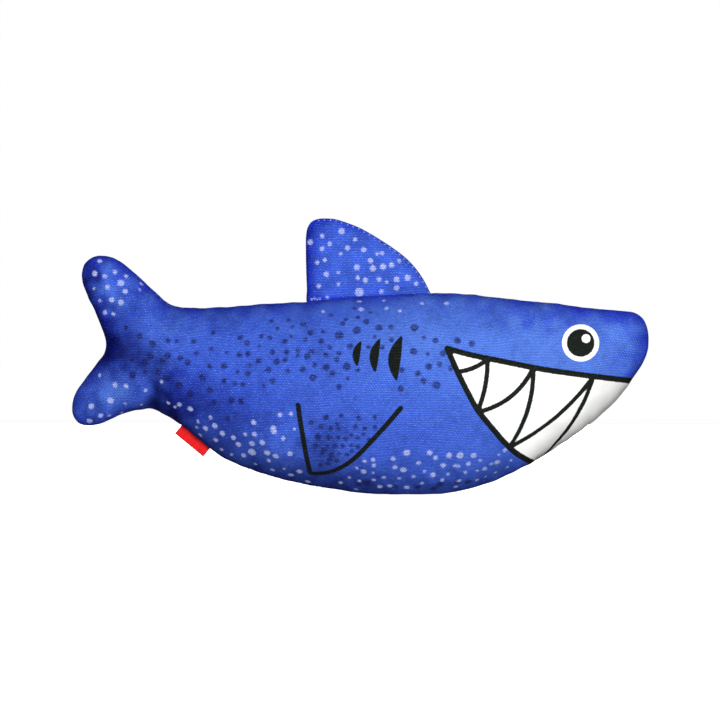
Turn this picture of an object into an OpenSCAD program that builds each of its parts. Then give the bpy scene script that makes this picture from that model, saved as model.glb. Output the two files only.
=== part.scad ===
// Stuffed canvas shark: two printed panels sewn face to face, lined, filled and fitted with a squeaker.
// Frame, in millimetres: +X to the nose, +Y to the shark's left side, +Z up through the dorsal fin.
// Origin: on the surface the toy stands on, under the middle of its length.

/* [Cloth] */
// Widest distance between the two flanks of the body
body_thickness = 80; // [64:1:92]
// Thickness across the two flanks where the tail bends
stalk_thickness = 44; // [38:1:48]
// Thickness of the printed canvas
canvas = 0.9; // [0.6:0.1:1]
// Thickness of the lining cloth
lining = 0.4; // [0.3:0.1:0.5]
// Room left between two plies that lie on each other
ply_gap = 0.25; // [0.2:0.05:0.3]
// Width of the seam allowance turned inside
seam_allowance = 6; // [4:0.5:7]
// How far the belly is pressed flat where the toy stands
belly_press = 5.2; // [5:0.1:5.8]

/* [Dorsal fin] */
// Thickness of the fin in its middle
fin_thickness = 9.2; // [7:0.2:11]
// Room under the fin's lower edge, so that it can lie over
fin_lift = 1.3; // [1.3:0.1:2]

/* [Tail bend] */
// Place of the bend's upright axis
bend_x = -118.4; // [-119:0.1:-118]
// Distance from the axis forward to the body's open end
bend_front = 5.5; // [5.5:0.1:6.5]
// Distance from the axis back to the tail's open end
bend_rear = 4; // [4:0.1:5]
// Largest radius of the filling where the tail turns in the body
knuckle_r = 17; // [14:0.5:17]
// Room round that filling
knuckle_gap = 0.5; // [0.4:0.1:1]

/* [Label] */
// Width of the folded label along the seam
label_w = 21.7; // [18:0.1:23]
// How far the label stands out of the seam
label_h = 6.1; // [5:0.1:8]
// Thickness of the label's tape
label_tape = 0.35; // [0.3:0.05:0.4]

/* [Squeaker] */
// Outer diameter of the squeaker
squeaker_d = 44; // [36:1:46]
// Thickness of the squeaker at rest
squeaker_t = 30; // [26:1:32]
// Wall of the squeaker's shells
squeaker_wall = 1.2; // [1:0.1:1.5]

/* [Detail] */
// Rows of facets from the open end of a part to its far edge
rows = 22; // [18:2:26]
// Facets across a part from seam to seam
columns = 12; // [10:2:14]

/* [Hidden] */
$fn = 48;

tail_rows = 9;
tail_columns = 18;
fin_rows = 10;
fin_columns = 12;
roundness = 1.1;        // 1 is an ellipse, more is sharper at the seam
lobe_roundness = 0.6;   // the same at the tail's far edge, where the two lobes fill out
floor_z = 0;

// Depth of each layer under the outer face
lining_depth = canvas + ply_gap;
fill_depth = lining_depth + lining + ply_gap;
fill_reach = fill_depth + 1.6;   // distance of the fill's edge from the seam, clear of the seam thread
fill_step = seam_allowance + 1.5;
fill_middle = 0.05;
middle_give = 0.3;
rim_near = 4;           // points on each side that even out the direction of a rim
rim_soft = 3.5;         // and how far along it that works

// Seam thread: half its width, and how deep it runs under the edge
thread_r = 0.3;
thread_depth = 2.7;
thread_side = lining_depth + lining + thread_r + 0.1;

// Body: [x, height of the back], [x, height of the belly], [x, half thickness / widest]
body_rear_x = bend_x + bend_front;
nose_corner_x = 162;
nose_x = 170.2;
back_line = [
    [-112.9, 112.6], [-104, 110.1], [-90, 109.8], [-60, 111.9], [-30, 113.4], [0, 116.4],
    [30, 117.8], [52, 118.5], [75, 116.6], [95, 114.3], [118, 112.1], [140, 109.2], [162, 107.1],
];
belly_line = [
    [-112.9, 45.5], [-104, 39.7], [-90, 27.9], [-78, 19.6], [-62, 13.5], [-45, 9], [-28, 5.6],
    [-16, 3.4], [1, 2.6 - belly_press], [27, -belly_press], [52, 2.6 - belly_press], [67, 4.6],
    [80, 8.8], [95, 15.8], [115, 27.8], [135, 41.3], [150, 54.4], [162, 70.5],
];
nose_arc = [
    [162, 107.1], [165, 105.5], [168.3, 101.7], [169.9, 97], [nose_x, 91.5], [169, 83.3],
    [165.9, 76], [162, 70.5],
];
flank_line = [
    [-112.9, 0], [-95, 0.27], [-75, 0.51], [-50, 0.77], [-20, 0.95], [10, 1], [40, 0.985],
    [70, 0.885], [95, 0.705], [120, 0.45], [140, 0.16], [153, -0.12], [162, -0.43],
    [167, -0.71], [169.4, -0.94], [nose_x, -1.22],
];

// Tail: edges from the open end round the two lobes
tail_front_x = bend_x - bend_rear;
tail_upper_edge = [
    [tail_front_x, 120.4], [-132.3, 129.6], [-139.8, 136.1], [-147.4, 140.2],
];
tail_rear_edge = [
    [-147.4, 140.2], [-155, 140.9], [-161.2, 137.8], [-164.4, 130.7], [-163.4, 123], [-157.6, 110.4],
    [-152, 97], [-150, 87.7], [-152.6, 80.8], [-161.7, 68.9], [-168.6, 59], [-170.2, 52],
    [-168.9, 45.6], [-163.2, 41], [-155.7, 41.4],
];
tail_lower_edge = [[tail_front_x, 50.8], [-132.3, 50.1], [-141.4, 47.8], [-155.7, 41.4]];

// Dorsal fin: the line it hinges on, [x, z], then its edges
fin_line = [[-30.8, 115.2], [41.2, 118.5]];
fin_base = [for (p = fin_line) [p[0], p[1] + fin_lift]];
fin_rear_edge = [fin_base[0], [-31.5, 130], [-32, 145], [-31.6, 155.6]];
fin_tip = [[-31.6, 155.6], [-29.4, 160.6], [-24, 163], [-14.8, 162.8], [-5, 159.7]];
fin_front_edge = [fin_base[1], [38, 126.5], [32.7, 134.1], [25.9, 140.9], [13.1, 149.9], [-5, 159.7]];
fin_pinch = 0.38;       // thickness at the fin's lower edge, as a share of the middle's
fin_cloth = 0.45;       // the fin's cloth, pressed thin along its seams
fin_allowance = 3.4;    // the fin's own seam allowance, trimmed narrow
pad_gap = 0.4;          // room between the fin's cloth and its batting
pad_columns_free = 3;   // the batting stops this many facets short of the fin's two sides
pad_rows_free = 6;      // and this many short of its tip
fin_root_h = 5;
fin_root_top = 0.4;
fin_root_step = 6;
root_half_t = 0.4;

// Knuckle of filling in the tail bend
knuckle_z = 82;
knuckle_half_h = 22;
knuckle_step = 20;      // degrees between its profile's corners

// Label: the middle of the seam stretch it hangs on, and that stretch's slope
label_seam = [-97.5, 33.75];
label_angle = 39.2;
label_start = 1.4;      // from the seam's edge out to the free part of the label
label_slot = 0.3;

// Closing stitches: evenly spaced along the belly
closing_from = -66;
closing_step = 4;
closing_count = 12;
closing_depth = 2.6;
closing_r = 0.35;

// Squeaker: middle of its place in the body
squeaker_at = [28, 0, 60];
squeaker_r = squeaker_d / 2;
shell_clearance = 0.2;
shell_overlap = 3;
pocket_gap = 0.5;
whistle_r = 4;
whistle_bore = 2.2;
whistle_len = 10;
whistle_flange_r = 6;
whistle_flange_t = 1.2;
whistle_inside = 6;     // length of the whistle inside the shell
reed_len = 7;
reed_w = 2.4;
reed_t = 0.15;
reed_block_len = 8;
reed_z = 10;
cup_chamfer = 1;

canvas_blue = [0.23, 0.36, 0.84];
lining_grey = [0.82, 0.83, 0.86];
fill_white = [0.95, 0.95, 0.94];
thread_blue = [0.14, 0.2, 0.55];
label_red = [0.86, 0.1, 0.12];
shell_white = [0.9, 0.92, 0.93];

// ---- Curves ----

// Index of the stretch of a table that holds x
function stretch(t, x, i = 0) = i >= len(t) - 2 || x < t[i + 1][0] ? i : stretch(t, x, i + 1);

function slope(t, i) = let (a = max(i - 1, 0), b = min(i + 1, len(t) - 1))
    (t[b][1] - t[a][1]) / (t[b][0] - t[a][0]);

// Cubic between two values with two slopes, at share s of a stretch d long
function cubic(p, q, m, n, d, s) =
    (1 + 2 * s) * pow(1 - s, 2) * p + s * pow(1 - s, 2) * d * m
    + pow(s, 2) * (3 - 2 * s) * q + pow(s, 2) * (s - 1) * d * n;

// Smooth curve through a table of [x, value]
function curve(t, x) = let (i = stretch(t, x), d = t[i + 1][0] - t[i][0])
    cubic(t[i][1], t[i + 1][1], slope(t, i), slope(t, i + 1), d, (x - t[i][0]) / d);

function lengths(p, i = 1, so_far = [0]) = i >= len(p) ? so_far
    : lengths(p, i + 1, concat(so_far, so_far[i - 1] + norm(p[i] - p[i - 1])));

// Point at share f of the way along a smooth line through points p
function along(p, f) = let (c = lengths(p), x = f * c[len(c) - 1])
    [for (k = [0, 1]) curve([for (i = [0 : len(p) - 1]) [c[i], p[i][k]]], x)];

// ---- Outlines: [side from the open end, far edge, side from the open end] ----

// Share of the way at row k of n, with the rows crowded towards the far edge
function ease(k, n) = sin(90 * k / n);

// Share of the way across at column j of m, with the columns crowded towards both seams
function crowd(j, m) = (1 - cos(180 * j / m)) / 2;

function body_outline() = let (
        n = rows,
        xs = [for (k = [0 : n]) body_rear_x + (nose_corner_x - body_rear_x) * ease(k, n)]
    ) [
        [for (x = xs) [x, curve(back_line, x)]],
        [for (j = [0 : columns]) along(nose_arc, crowd(j, columns))],
        [for (x = xs) [x, curve(belly_line, x)]],
    ];

function edge_outline(side, far, other, n, m) = [
    [for (k = [0 : n]) along(side, ease(k, n))],
    [for (j = [0 : m]) along(far, (j / m + crowd(j, m)) / 2)],
    [for (k = [0 : n]) along(other, ease(k, n))],
];

function tail_outline() =
    edge_outline(tail_upper_edge, tail_rear_edge, tail_lower_edge, tail_rows, tail_columns);

function fin_outline() =
    edge_outline(fin_rear_edge, fin_tip, fin_front_edge, fin_rows, fin_columns);

// The whole edge as one line: out along one side, round the far edge, back along the other
function rim(o) = let (n = len(o[0]) - 1) concat(
    o[0],
    [for (j = [1 : len(o[1]) - 2]) o[1][j]],
    [for (k = [n : -1 : 0]) o[2][k]]
);

// Direction of a rim at point i
function heading(r, i) = let (d = r[min(i + 1, len(r) - 1)] - r[max(i - 1, 0)]) d / norm(d);

function total(vectors) = [for (v = vectors) 1] * vectors;

// Unit vector into the part at point i of a rim, evened out over its near points;
// turn is 1 or -1 with the way the rim runs
function inward(r, i, turn) = let (
        near = [max(i - rim_near, 0) : min(i + rim_near, len(r) - 1)],
        d = total([for (j = near) heading(r, j) * exp(-pow(norm(r[j] - r[i]) / rim_soft, 2))])
    ) turn * [-d[1], d[0]] / norm(d);

// A rim moved into the part by depth; its two ends slide along the open end, whose direction is cap
function inset_rim(r, depth, turn, cap) = [
    for (i = [0 : len(r) - 1])
        let (v = inward(r, i, turn), last = len(r) - 1)
        i == 0 ? r[i] + cap * depth / max(abs(v * cap), 0.5)
        : i == last ? r[i] - cap * depth / max(abs(v * cap), 0.5)
        : r[i] + v * depth
];

function outline_of(r, n, m) = [
    [for (k = [0 : n]) r[k]],
    [for (j = [0 : m]) r[n + j]],
    [for (k = [0 : n]) r[2 * n + m - k]],
];

// ---- Surfaces ----

function oval(a) = pow(max(sin(a), 0), roundness);

// Half thickness of the body, tail and fin at row k of n and column j of m
function body_half(x, t, s) = let (
        swell = curve(flank_line, x + (nose_x - nose_corner_x) * t),
        stalk = stalk_thickness / 2,
        widest = body_thickness / 2,
        flat = flank_line[len(flank_line) - 1][1]
    ) t >= 1 ? 0 : oval(180 * s)
        * (swell >= 0 ? stalk + (widest - stalk) * swell : stalk * (1 - swell / flat));

function tail_half(t, s) = stalk_thickness / 2
    * pow(max(sin(180 * s), 0), roundness + (lobe_roundness - roundness) * t)
    * pow(max(1 - pow(t, 2), 0), 0.5);

function fin_half(t, s) = let (rise = min(t / 0.35, 1))
    fin_thickness / 2 * pow(max(sin(180 * s), 0), 0.4)
    * (fin_pinch + (1 - fin_pinch) * sin(90 * rise)) * pow(max(1 - pow(t, 3), 0), 0.6);

// Place of row k, column j inside an outline, from its four edges
function inside(o, n, m, k, j) = let (
        t = ease(k, n),
        s = crowd(j, m),
        cap = o[0][0] * (1 - s) + o[2][0] * s,
        far = o[0][n] * (1 - s) + o[2][n] * s
    )
    k == n ? o[1][j] : j == 0 ? o[0][k] : j == m ? o[2][k]
    : o[0][k] * (1 - s) + o[2][k] * s + (o[1][j] - far) * t;

// Half thickness at depth under an outer face y from the middle; at the seam it is about the depth
function ply(y, depth, crisp = false) =
    crisp ? max(1.15 * depth, y - depth) : depth + y * y / max(y + 2 * depth, 0.001);

function kind_half(kind, o, n, m, k, j) =
    kind == "body" ? body_half(o[0][k][0], k / n, j / m)
    : kind == "tail" ? tail_half(k / n, j / m)
    : fin_half(k / n, j / m);

// Height of a point that is pressed up to low, and gives way by a share of how far it was under it
function pressed(z, low, give = 0) = z > low ? z : low + give * (z - low);

// All points of one face of a part, row by row: depth under the outer face, and reach in from the seam
function face_points(kind, o, depth, reach, turn, give = 0) = let (
        n = len(o[0]) - 1,
        m = len(o[1]) - 1,
        cap = (o[2][0] - o[0][0]) / norm(o[2][0] - o[0][0]),
        moved = outline_of(inset_rim(rim(o), reach, turn, cap), n, m)
    ) [
        for (k = [0 : n], j = [0 : m])
            let (
                p = inside(moved, n, m, k, j),
                y = ply(kind_half(kind, o, n, m, k, j), depth, kind == "fin")
            ) [p[0], y, pressed(p[1], floor_z + reach, give)]
    ];

function rim_points(o, depth, y, turn) = let (
        cap = (o[2][0] - o[0][0]) / norm(o[2][0] - o[0][0])
    ) [for (p = inset_rim(rim(o), depth, turn, cap)) [p[0], y, pressed(p[1], floor_z + depth)]];

// Index of rim point i in a face of n rows and m columns
function rim_index(n, m, i) = i <= n ? i * (m + 1) : i <= n + m ? n * (m + 1) + i - n
    : (2 * n + m - i) * (m + 1) + m;

function flip(faces) = [for (f = faces) [for (i = [len(f) - 1 : -1 : 0]) f[i]]];

// Triangles of a face, with each quad's diagonal leading to the far edge's middle
function face_quads(n, m, first) = [
    for (k = [0 : n - 1], j = [0 : m - 1]) let (a = first + k * (m + 1) + j, b = a + m + 1)
        each j < m / 2 ? [[a, b, a + 1], [b, b + 1, a + 1]] : [[a, b, b + 1], [a, b + 1, a + 1]]
];

function strip(a, b) = [
    for (i = [0 : len(a) - 2]) each [[a[i], b[i], b[i + 1]], [a[i], b[i + 1], a[i + 1]]]
];

// Triangles that all meet at the first point of a list
function fan(p) = [for (i = [1 : len(p) - 2]) [p[0], p[i], p[i + 1]]];

// A curved ply from depth to depth + t, with its allowance turned in at the seam
module ply_shell(kind, o, depth, t, turned, turn) {
    n = len(o[0]) - 1;
    m = len(o[1]) - 1;
    size = (n + 1) * (m + 1);
    count = 2 * n + m + 1;
    outer = face_points(kind, o, depth, depth, turn);
    inner = face_points(kind, o, depth + t, depth + t, turn);
    tip = rim_points(o, depth + turned, depth, turn);
    tip_in = rim_points(o, depth + turned, depth + t, turn);
    outer_rim = [for (i = [0 : count - 1]) rim_index(n, m, i)];
    inner_rim = [for (i = [0 : count - 1]) size + rim_index(n, m, i)];
    tip_rim = [for (i = [0 : count - 1]) 2 * size + i];
    tip_in_rim = [for (i = [0 : count - 1]) 2 * size + count + i];
    first_row = [for (j = [0 : m]) j];
    cap = concat(
        [tip_rim[0]], first_row, [tip_rim[count - 1]]
    );
    cap_in = concat(
        [tip_in_rim[0]], [for (j = first_row) size + j], [tip_in_rim[count - 1]]
    );
    faces = concat(
        face_quads(n, m, 0),
        flip(face_quads(n, m, size)),
        strip(outer_rim, tip_rim),
        strip(tip_rim, tip_in_rim),
        strip(tip_in_rim, inner_rim),
        strip(cap_in, cap)
    );
    polyhedron(concat(outer, inner, tip, tip_in), turn > 0 ? faces : flip(faces));
}

// One half of a filling: curved outside, stepped at the seam and flat in the middle
module fill_half(kind, o, turn) {
    n = len(o[0]) - 1;
    m = len(o[1]) - 1;
    size = (n + 1) * (m + 1);
    count = 2 * n + m + 1;
    outer = face_points(kind, o, fill_depth, fill_reach, turn);
    middle = [
        for (p = face_points(kind, o, fill_depth, fill_step, turn, middle_give)) [p[0], fill_middle, p[2]]
    ];
    step = rim_points(o, fill_step, fill_depth, turn);
    outer_rim = [for (i = [0 : count - 1]) rim_index(n, m, i)];
    middle_rim = [for (i = outer_rim) size + i];
    step_rim = [for (i = [0 : count - 1]) 2 * size + i];
    row = [for (j = [0 : m]) j];
    middle_row = [for (j = row) size + j];
    cap = concat(
        flip(strip([for (j = [2 : m - 2]) row[j]], [for (j = [2 : m - 2]) middle_row[j]])),
        fan(concat([step_rim[0]], [for (j = [0 : 2]) row[j]], [for (j = [2, 1, 0]) middle_row[j]])),
        fan(concat([step_rim[count - 1]], [for (j = [m, m - 1, m - 2]) middle_row[j]],
                   [for (j = [m - 2 : m]) row[j]]))
    );
    faces = concat(
        face_quads(n, m, 0),
        strip(outer_rim, step_rim),
        strip(step_rim, middle_rim),
        flip(face_quads(n, m, size)),
        cap
    );
    polyhedron(concat(outer, middle, step), turn > 0 ? faces : flip(faces));
}

// A square thread along the seam, beside the middle, skipping a few points at each end
module seam_thread(o, y, turn, skip = 0) {
    inner_line = rim_points(o, thread_depth + thread_r, 0, turn);
    outer_line = rim_points(o, thread_depth - thread_r, 0, turn);
    last = len(inner_line) - 1 - 2 * skip;
    points = [
        for (i = [skip : last + skip]) each [
            inner_line[i] + [0, y - thread_r, 0], outer_line[i] + [0, y - thread_r, 0],
            outer_line[i] + [0, y + thread_r, 0], inner_line[i] + [0, y + thread_r, 0],
        ]
    ];
    sides = [
        for (i = [0 : last - 1], c = [0 : 3]) let (a = 4 * i + c, b = 4 * i + (c + 1) % 4)
            each [[a, a + 4, b + 4], [a, b + 4, b]]
    ];
    faces = concat(sides, [[0, 1, 2, 3], [4 * last + 3, 4 * last + 2, 4 * last + 1, 4 * last]]);
    polyhedron(points, turn > 0 ? faces : flip(faces));
}

module mirrored(right) {
    mirror([0, right ? 1 : 0, 0]) children();
}

// Way each rim runs round its part
body_turn = -1;
tail_turn = 1;
fin_turn = -1;

// ---- Sub-parts ----

module body_panel(right) {
    color(canvas_blue) mirrored(right)
        ply_shell("body", body_outline(), 0, canvas, seam_allowance, body_turn);
}

module tail_panel(right) {
    color(canvas_blue) mirrored(right)
        ply_shell("tail", tail_outline(), 0, canvas, seam_allowance, tail_turn);
}

module body_lining(right) {
    color(lining_grey) mirrored(right)
        ply_shell("body", body_outline(), lining_depth, lining, seam_allowance - lining_depth, body_turn);
}

module tail_lining(right) {
    color(lining_grey) mirrored(right)
        ply_shell("tail", tail_outline(), lining_depth, lining, seam_allowance - lining_depth, tail_turn);
}

// Round filling about the bend's axis, grown by gap
module knuckle(gap) {
    translate([bend_x, 0, knuckle_z]) rotate_extrude()
        polygon([
            for (a = [-90 : knuckle_step : 90])
                [(knuckle_r + gap) * cos(a), (knuckle_half_h + gap) * sin(a)]
        ]);
}

// The hollow in the fill that holds the squeaker
module squeaker_pocket() {
    translate(squeaker_at) rotate([-90, 0, 0]) {
        translate([0, 0, -squeaker_t / 2 - pocket_gap])
            cylinder(r = squeaker_r + pocket_gap, h = squeaker_t + whistle_flange_t + 2 * pocket_gap);
        cylinder(r = whistle_flange_r + pocket_gap,
                 h = squeaker_t / 2 + whistle_len - whistle_inside + pocket_gap);
    }
}

module body_fill() {
    color(fill_white)
        for (right = [false, true]) difference() {
            mirrored(right) fill_half("body", body_outline(), body_turn);
            knuckle(knuckle_gap);
            squeaker_pocket();
        }
}

module tail_fill() {
    color(fill_white) {
        for (right = [false, true]) mirrored(right) fill_half("tail", tail_outline(), tail_turn);
        knuckle(0);
    }
}

module body_seam_thread() {
    color(thread_blue)
        for (side = [-1, 1]) seam_thread(body_outline(), side * thread_side, body_turn);
}

module tail_seam_thread() {
    color(thread_blue)
        for (side = [-1, 1]) seam_thread(tail_outline(), side * thread_side, tail_turn);
}

module closing_stitches() {
    color(thread_blue)
        for (i = [0 : closing_count - 1]) let (x = closing_from + i * closing_step)
            translate([x, 0, curve(belly_line, x) + closing_depth]) rotate([90, 0, 0])
                cylinder(r = closing_r, h = 2 * canvas, center = true);
}

module fin_panel(right) {
    color(canvas_blue) mirrored(right)
        ply_shell("fin", fin_outline(), 0, fin_cloth, fin_allowance, fin_turn);
}

// A flat pad between the fin's panels: two curved faces joined round their edge
module fin_batting() {
    o = fin_outline();
    n = fin_rows - pad_rows_free - 1;
    m = fin_columns - 2 * pad_columns_free;
    size = (n + 1) * (m + 1);
    near = [
        for (k = [1 : n + 1], j = [pad_columns_free : m + pad_columns_free]) let (
            p = inside(o, fin_rows, fin_columns, k, j),
            y = ply(fin_half(k / fin_rows, j / fin_columns), fin_cloth, true) - pad_gap
        ) [p[0], y, p[1]]
    ];
    far = [for (p = near) [p[0], -p[1], p[2]]];
    near_rim = [for (i = [0 : 2 * n + m]) rim_index(n, m, i)];
    far_rim = [for (i = near_rim) size + i];
    row = [for (j = [0 : m]) j];
    faces = concat(
        face_quads(n, m, 0),
        flip(face_quads(n, m, size)),
        strip(near_rim, far_rim),
        flip(strip(row, [for (j = row) size + j]))
    );
    color(fill_white) polyhedron(concat(near, far), flip(faces));
}

module fin_seam_thread() {
    color(thread_blue)
        for (side = [-1, 1]) seam_thread(fin_outline(), side * (fin_cloth + thread_r + 0.1), fin_turn, 2);
}

// The part of the fin that is sewn into the seam along the back
module fin_root() {
    xs = [for (x = [fin_line[0][0] : fin_root_step : fin_line[1][0]]) x];
    top = [for (x = xs) [x, curve(back_line, x) - fin_root_top]];
    low = [for (i = [len(xs) - 1 : -1 : 0]) [xs[i], curve(back_line, xs[i]) - fin_root_h]];
    color(canvas_blue) rotate([90, 0, 0])
        linear_extrude(2 * root_half_t, center = true) polygon(concat(top, low));
}

module at_label() {
    translate([label_seam[0], 0, label_seam[1]]) rotate([0, label_angle, 0])
        translate([-label_w / 2, 0, 0]) children();
}

// A strip of tape folded back on itself, with its fold outward
module label() {
    half = label_slot / 2 + label_tape;
    color(label_red) at_label() rotate([90, 0, 90]) linear_extrude(label_w)
        difference() {
            union() {
                translate([-half, half - label_h]) square([2 * half, label_h - half - label_start]);
                translate([0, half - label_h]) circle(half);
            }
            translate([-label_slot / 2, half - label_h]) square([label_slot, label_h]);
            translate([0, half - label_h]) circle(label_slot / 2);
        }
}

module label_ends() {
    color(label_red) at_label()
        translate([0, -root_half_t, 0]) cube([label_w, 2 * root_half_t, fin_root_h]);
}

// Puts a shape drawn along +Z at the squeaker, along +Y
module at_squeaker() {
    translate(squeaker_at) rotate([-90, 0, 0]) children();
}

// A shallow cup, closed at end_z, with a chamfered outer corner
module cup(r, open_z, end_z) {
    way = end_z > open_z ? 1 : -1;
    rotate_extrude() polygon([
        [0, end_z], [r - cup_chamfer, end_z], [r, end_z - way * cup_chamfer], [r, open_z],
        [r - squeaker_wall, open_z], [r - squeaker_wall, end_z - way * squeaker_wall],
        [0, end_z - way * squeaker_wall],
    ]);
}

module squeaker_back_shell() {
    color(shell_white) at_squeaker() difference() {
        cup(squeaker_r, -shell_overlap, squeaker_t / 2);
        cylinder(r = whistle_r, h = squeaker_t);
    }
}

module squeaker_front_shell() {
    color(shell_white) at_squeaker()
        cup(squeaker_r - squeaker_wall - shell_clearance, shell_overlap, -squeaker_t / 2);
}

module squeaker_whistle() {
    color("white") at_squeaker() difference() {
        union() {
            translate([0, 0, squeaker_t / 2 - whistle_inside]) cylinder(r = whistle_r, h = whistle_len);
            translate([0, 0, squeaker_t / 2]) cylinder(r = whistle_flange_r, h = whistle_flange_t);
        }
        cylinder(r = whistle_bore, h = squeaker_t);
    }
}

module squeaker_reed_block() {
    color("gainsboro") at_squeaker() translate([0, 0, reed_z]) intersection() {
        cylinder(r = whistle_bore, h = reed_block_len);
        translate([-2 * whistle_bore - reed_t / 2, -whistle_bore, 0])
            cube([2 * whistle_bore, 2 * whistle_bore, reed_block_len]);
    }
}

module squeaker_reed() {
    color("whitesmoke") at_squeaker()
        translate([-reed_t / 2, -reed_w / 2, reed_z]) cube([reed_t, reed_w, reed_len]);
}

body_panel(true);  // right_body_panel
body_panel(false);  // left_body_panel
tail_panel(true);  // right_tail_panel
tail_panel(false);  // left_tail_panel
body_lining(true);  // right_body_lining
body_lining(false);  // left_body_lining
tail_lining(true);  // right_tail_lining
tail_lining(false);  // left_tail_lining
body_fill();
tail_fill();
body_seam_thread();
tail_seam_thread();
closing_stitches();
fin_panel(true);  // right_fin_panel
fin_panel(false);  // left_fin_panel
fin_batting();
fin_seam_thread();
fin_root();
label();
label_ends();
squeaker_back_shell();
squeaker_front_shell();
squeaker_whistle();
squeaker_reed_block();
squeaker_reed();
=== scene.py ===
"""Looks of the stuffed canvas shark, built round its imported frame.

Shapes are drawn in millimetres in the frame's own axes, +X to the nose and +Z up, and made in metres.
"""

import math

import bpy
import numpy as np
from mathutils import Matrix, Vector
from mathutils.geometry import delaunay_2d_cdt


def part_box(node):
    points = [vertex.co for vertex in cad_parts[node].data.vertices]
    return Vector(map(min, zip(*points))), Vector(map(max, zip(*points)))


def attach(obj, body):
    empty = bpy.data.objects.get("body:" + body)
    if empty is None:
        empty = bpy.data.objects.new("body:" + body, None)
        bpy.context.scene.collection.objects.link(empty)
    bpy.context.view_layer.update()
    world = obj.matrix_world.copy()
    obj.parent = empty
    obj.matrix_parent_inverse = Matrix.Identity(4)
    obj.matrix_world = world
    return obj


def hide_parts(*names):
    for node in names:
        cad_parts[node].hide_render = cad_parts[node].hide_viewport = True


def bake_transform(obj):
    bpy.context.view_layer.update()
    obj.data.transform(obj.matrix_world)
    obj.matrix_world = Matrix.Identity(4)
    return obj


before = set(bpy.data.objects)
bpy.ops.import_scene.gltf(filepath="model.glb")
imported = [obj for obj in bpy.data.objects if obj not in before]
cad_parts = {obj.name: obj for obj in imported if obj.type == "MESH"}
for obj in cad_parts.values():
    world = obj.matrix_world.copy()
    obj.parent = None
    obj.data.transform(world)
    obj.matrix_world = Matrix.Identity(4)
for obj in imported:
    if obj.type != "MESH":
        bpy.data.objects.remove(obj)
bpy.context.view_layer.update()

MM = 0.001
SEED = 11

# ---- The toy's outline, seen from its right side: nose, belly, tail, back ----

OUTLINE = [
    (162, 107.2), (166.2, 104.6), (169, 99.6), (170.2, 92.5), (169.3, 84), (165.8, 76.2), (160.2, 68),
    (153, 58), (144, 49), (133, 40), (117, 29), (106, 21.7), (93.3, 15), (80.6, 9), (67, 4.4), (51.6, 0.9),
    (35.3, -1), (20.4, -1), (3.5, 0.6), (-13.5, 3), (-30.5, 5.9), (-47.5, 9.8), (-64.6, 15), (-79.7, 21.4),
    (-88.6, 27.4), (-97.4, 34.6), (-105.9, 41.4), (-114.4, 46.8), (-123.3, 50.6), (-132.3, 50),
    (-141.4, 47.4), (-147.4, 44.6), (-155.7, 41.3), (-163.2, 41), (-167, 42.7), (-169.7, 47), (-170.2, 53),
    (-167.7, 60.6), (-161.7, 69), (-155.4, 77.2), (-151.2, 83), (-150.2, 87.7), (-151.4, 95.3),
    (-154.2, 102.8), (-157.6, 110.4), (-161.2, 118), (-163.8, 124.7), (-164.4, 130.7), (-162.9, 136),
    (-158.6, 139.8), (-152.6, 141), (-147, 140), (-139.8, 136), (-132.3, 129.6), (-123.3, 121.2),
    (-115.6, 114.2), (-109.6, 111), (-98.4, 109.8), (-87, 110), (-71.9, 110.8), (-59.3, 111.9),
    (-45, 112.8), (-30.6, 113.4), (-6.6, 116), (12, 117.2), (30, 118), (43, 118.5), (55.3, 118.4),
    (74, 116.7), (93.3, 114.5), (116.8, 112.3), (135, 109.8), (150, 108.6),
]

FIN_OUTLINE = [
    (-31, 112.6), (-31.6, 122), (-32, 133), (-32.2, 145), (-32, 153.5), (-31, 158), (-28.6, 161.3),
    (-24.6, 162.9), (-19.5, 163.1), (-14.8, 162.7), (-7.4, 160.4), (-0.4, 157.6), (6.5, 153.9),
    (13.1, 149.8), (20, 145.2), (25.9, 140.7), (30.6, 136.2), (34.8, 131), (38.2, 125.6), (40.4, 121.2),
    (41.8, 117.6), (30, 116.9), (12, 116.1), (-6, 115), (-20, 113.5),
]

# ---- Print: ink lines, drawn as they look from this far off and at this height ----

LOOK_DISTANCE = 2000
LOOK_HEIGHT = 79.4

LIP = [
    (51.4, 86.2), (57, 84.6), (64.5, 82.6), (81.9, 79), (107.9, 73.9), (134, 70.2), (155.7, 67.6),
    (176, 65.4),
]
JAW = [
    (51.4, 86.2), (57.4, 72.7), (63.1, 61.2), (69.3, 50), (78.2, 38.9), (86.6, 29.3), (93.2, 23.6),
    (101, 19.2), (110, 14.6),
]
MOUTH_WIDTH = 3.4
# Teeth: each line's two ends, and how far it bows
TEETH = [
    ((75.6, 80), (57.8, 72.4), -1.4), ((75.2, 79.5), (69.9, 50.4), -1.5),
    ((102.2, 74.6), (70.8, 48.9), -4.7), ((102.3, 74.6), (88.8, 28.9), -3.8),
    ((137.6, 69.4), (89.8, 28.6), -3.8), ((137.8, 69.4), (103.6, 19.4), -4.8),
]
TOOTH_WIDTH = 2.8
WHITE_CORNERS = [(130, -2), (190, 30), (190, 67)]
EYE = (130.3, 89.5)
EYE_RING = 11
PUPIL = 8.2
GLINT = (133.5, 92.1)
GLINT_RADIUS = 2.6
PECTORAL = [
    [(-36.8, 52.8), (-35.6, 44), (-33.8, 33.6), (-31.8, 22), (-29.6, 12.6)],
    [
        (-29.6, 12.6), (-25, 12.3), (-19.2, 12.9), (-13.4, 14.9), (-7.8, 18), (-2, 22.6), (3.5, 28), (9, 34),
        (14, 39.4), (24, 50.9),
    ],
]
PECTORAL_WIDTH = 2.9
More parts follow.
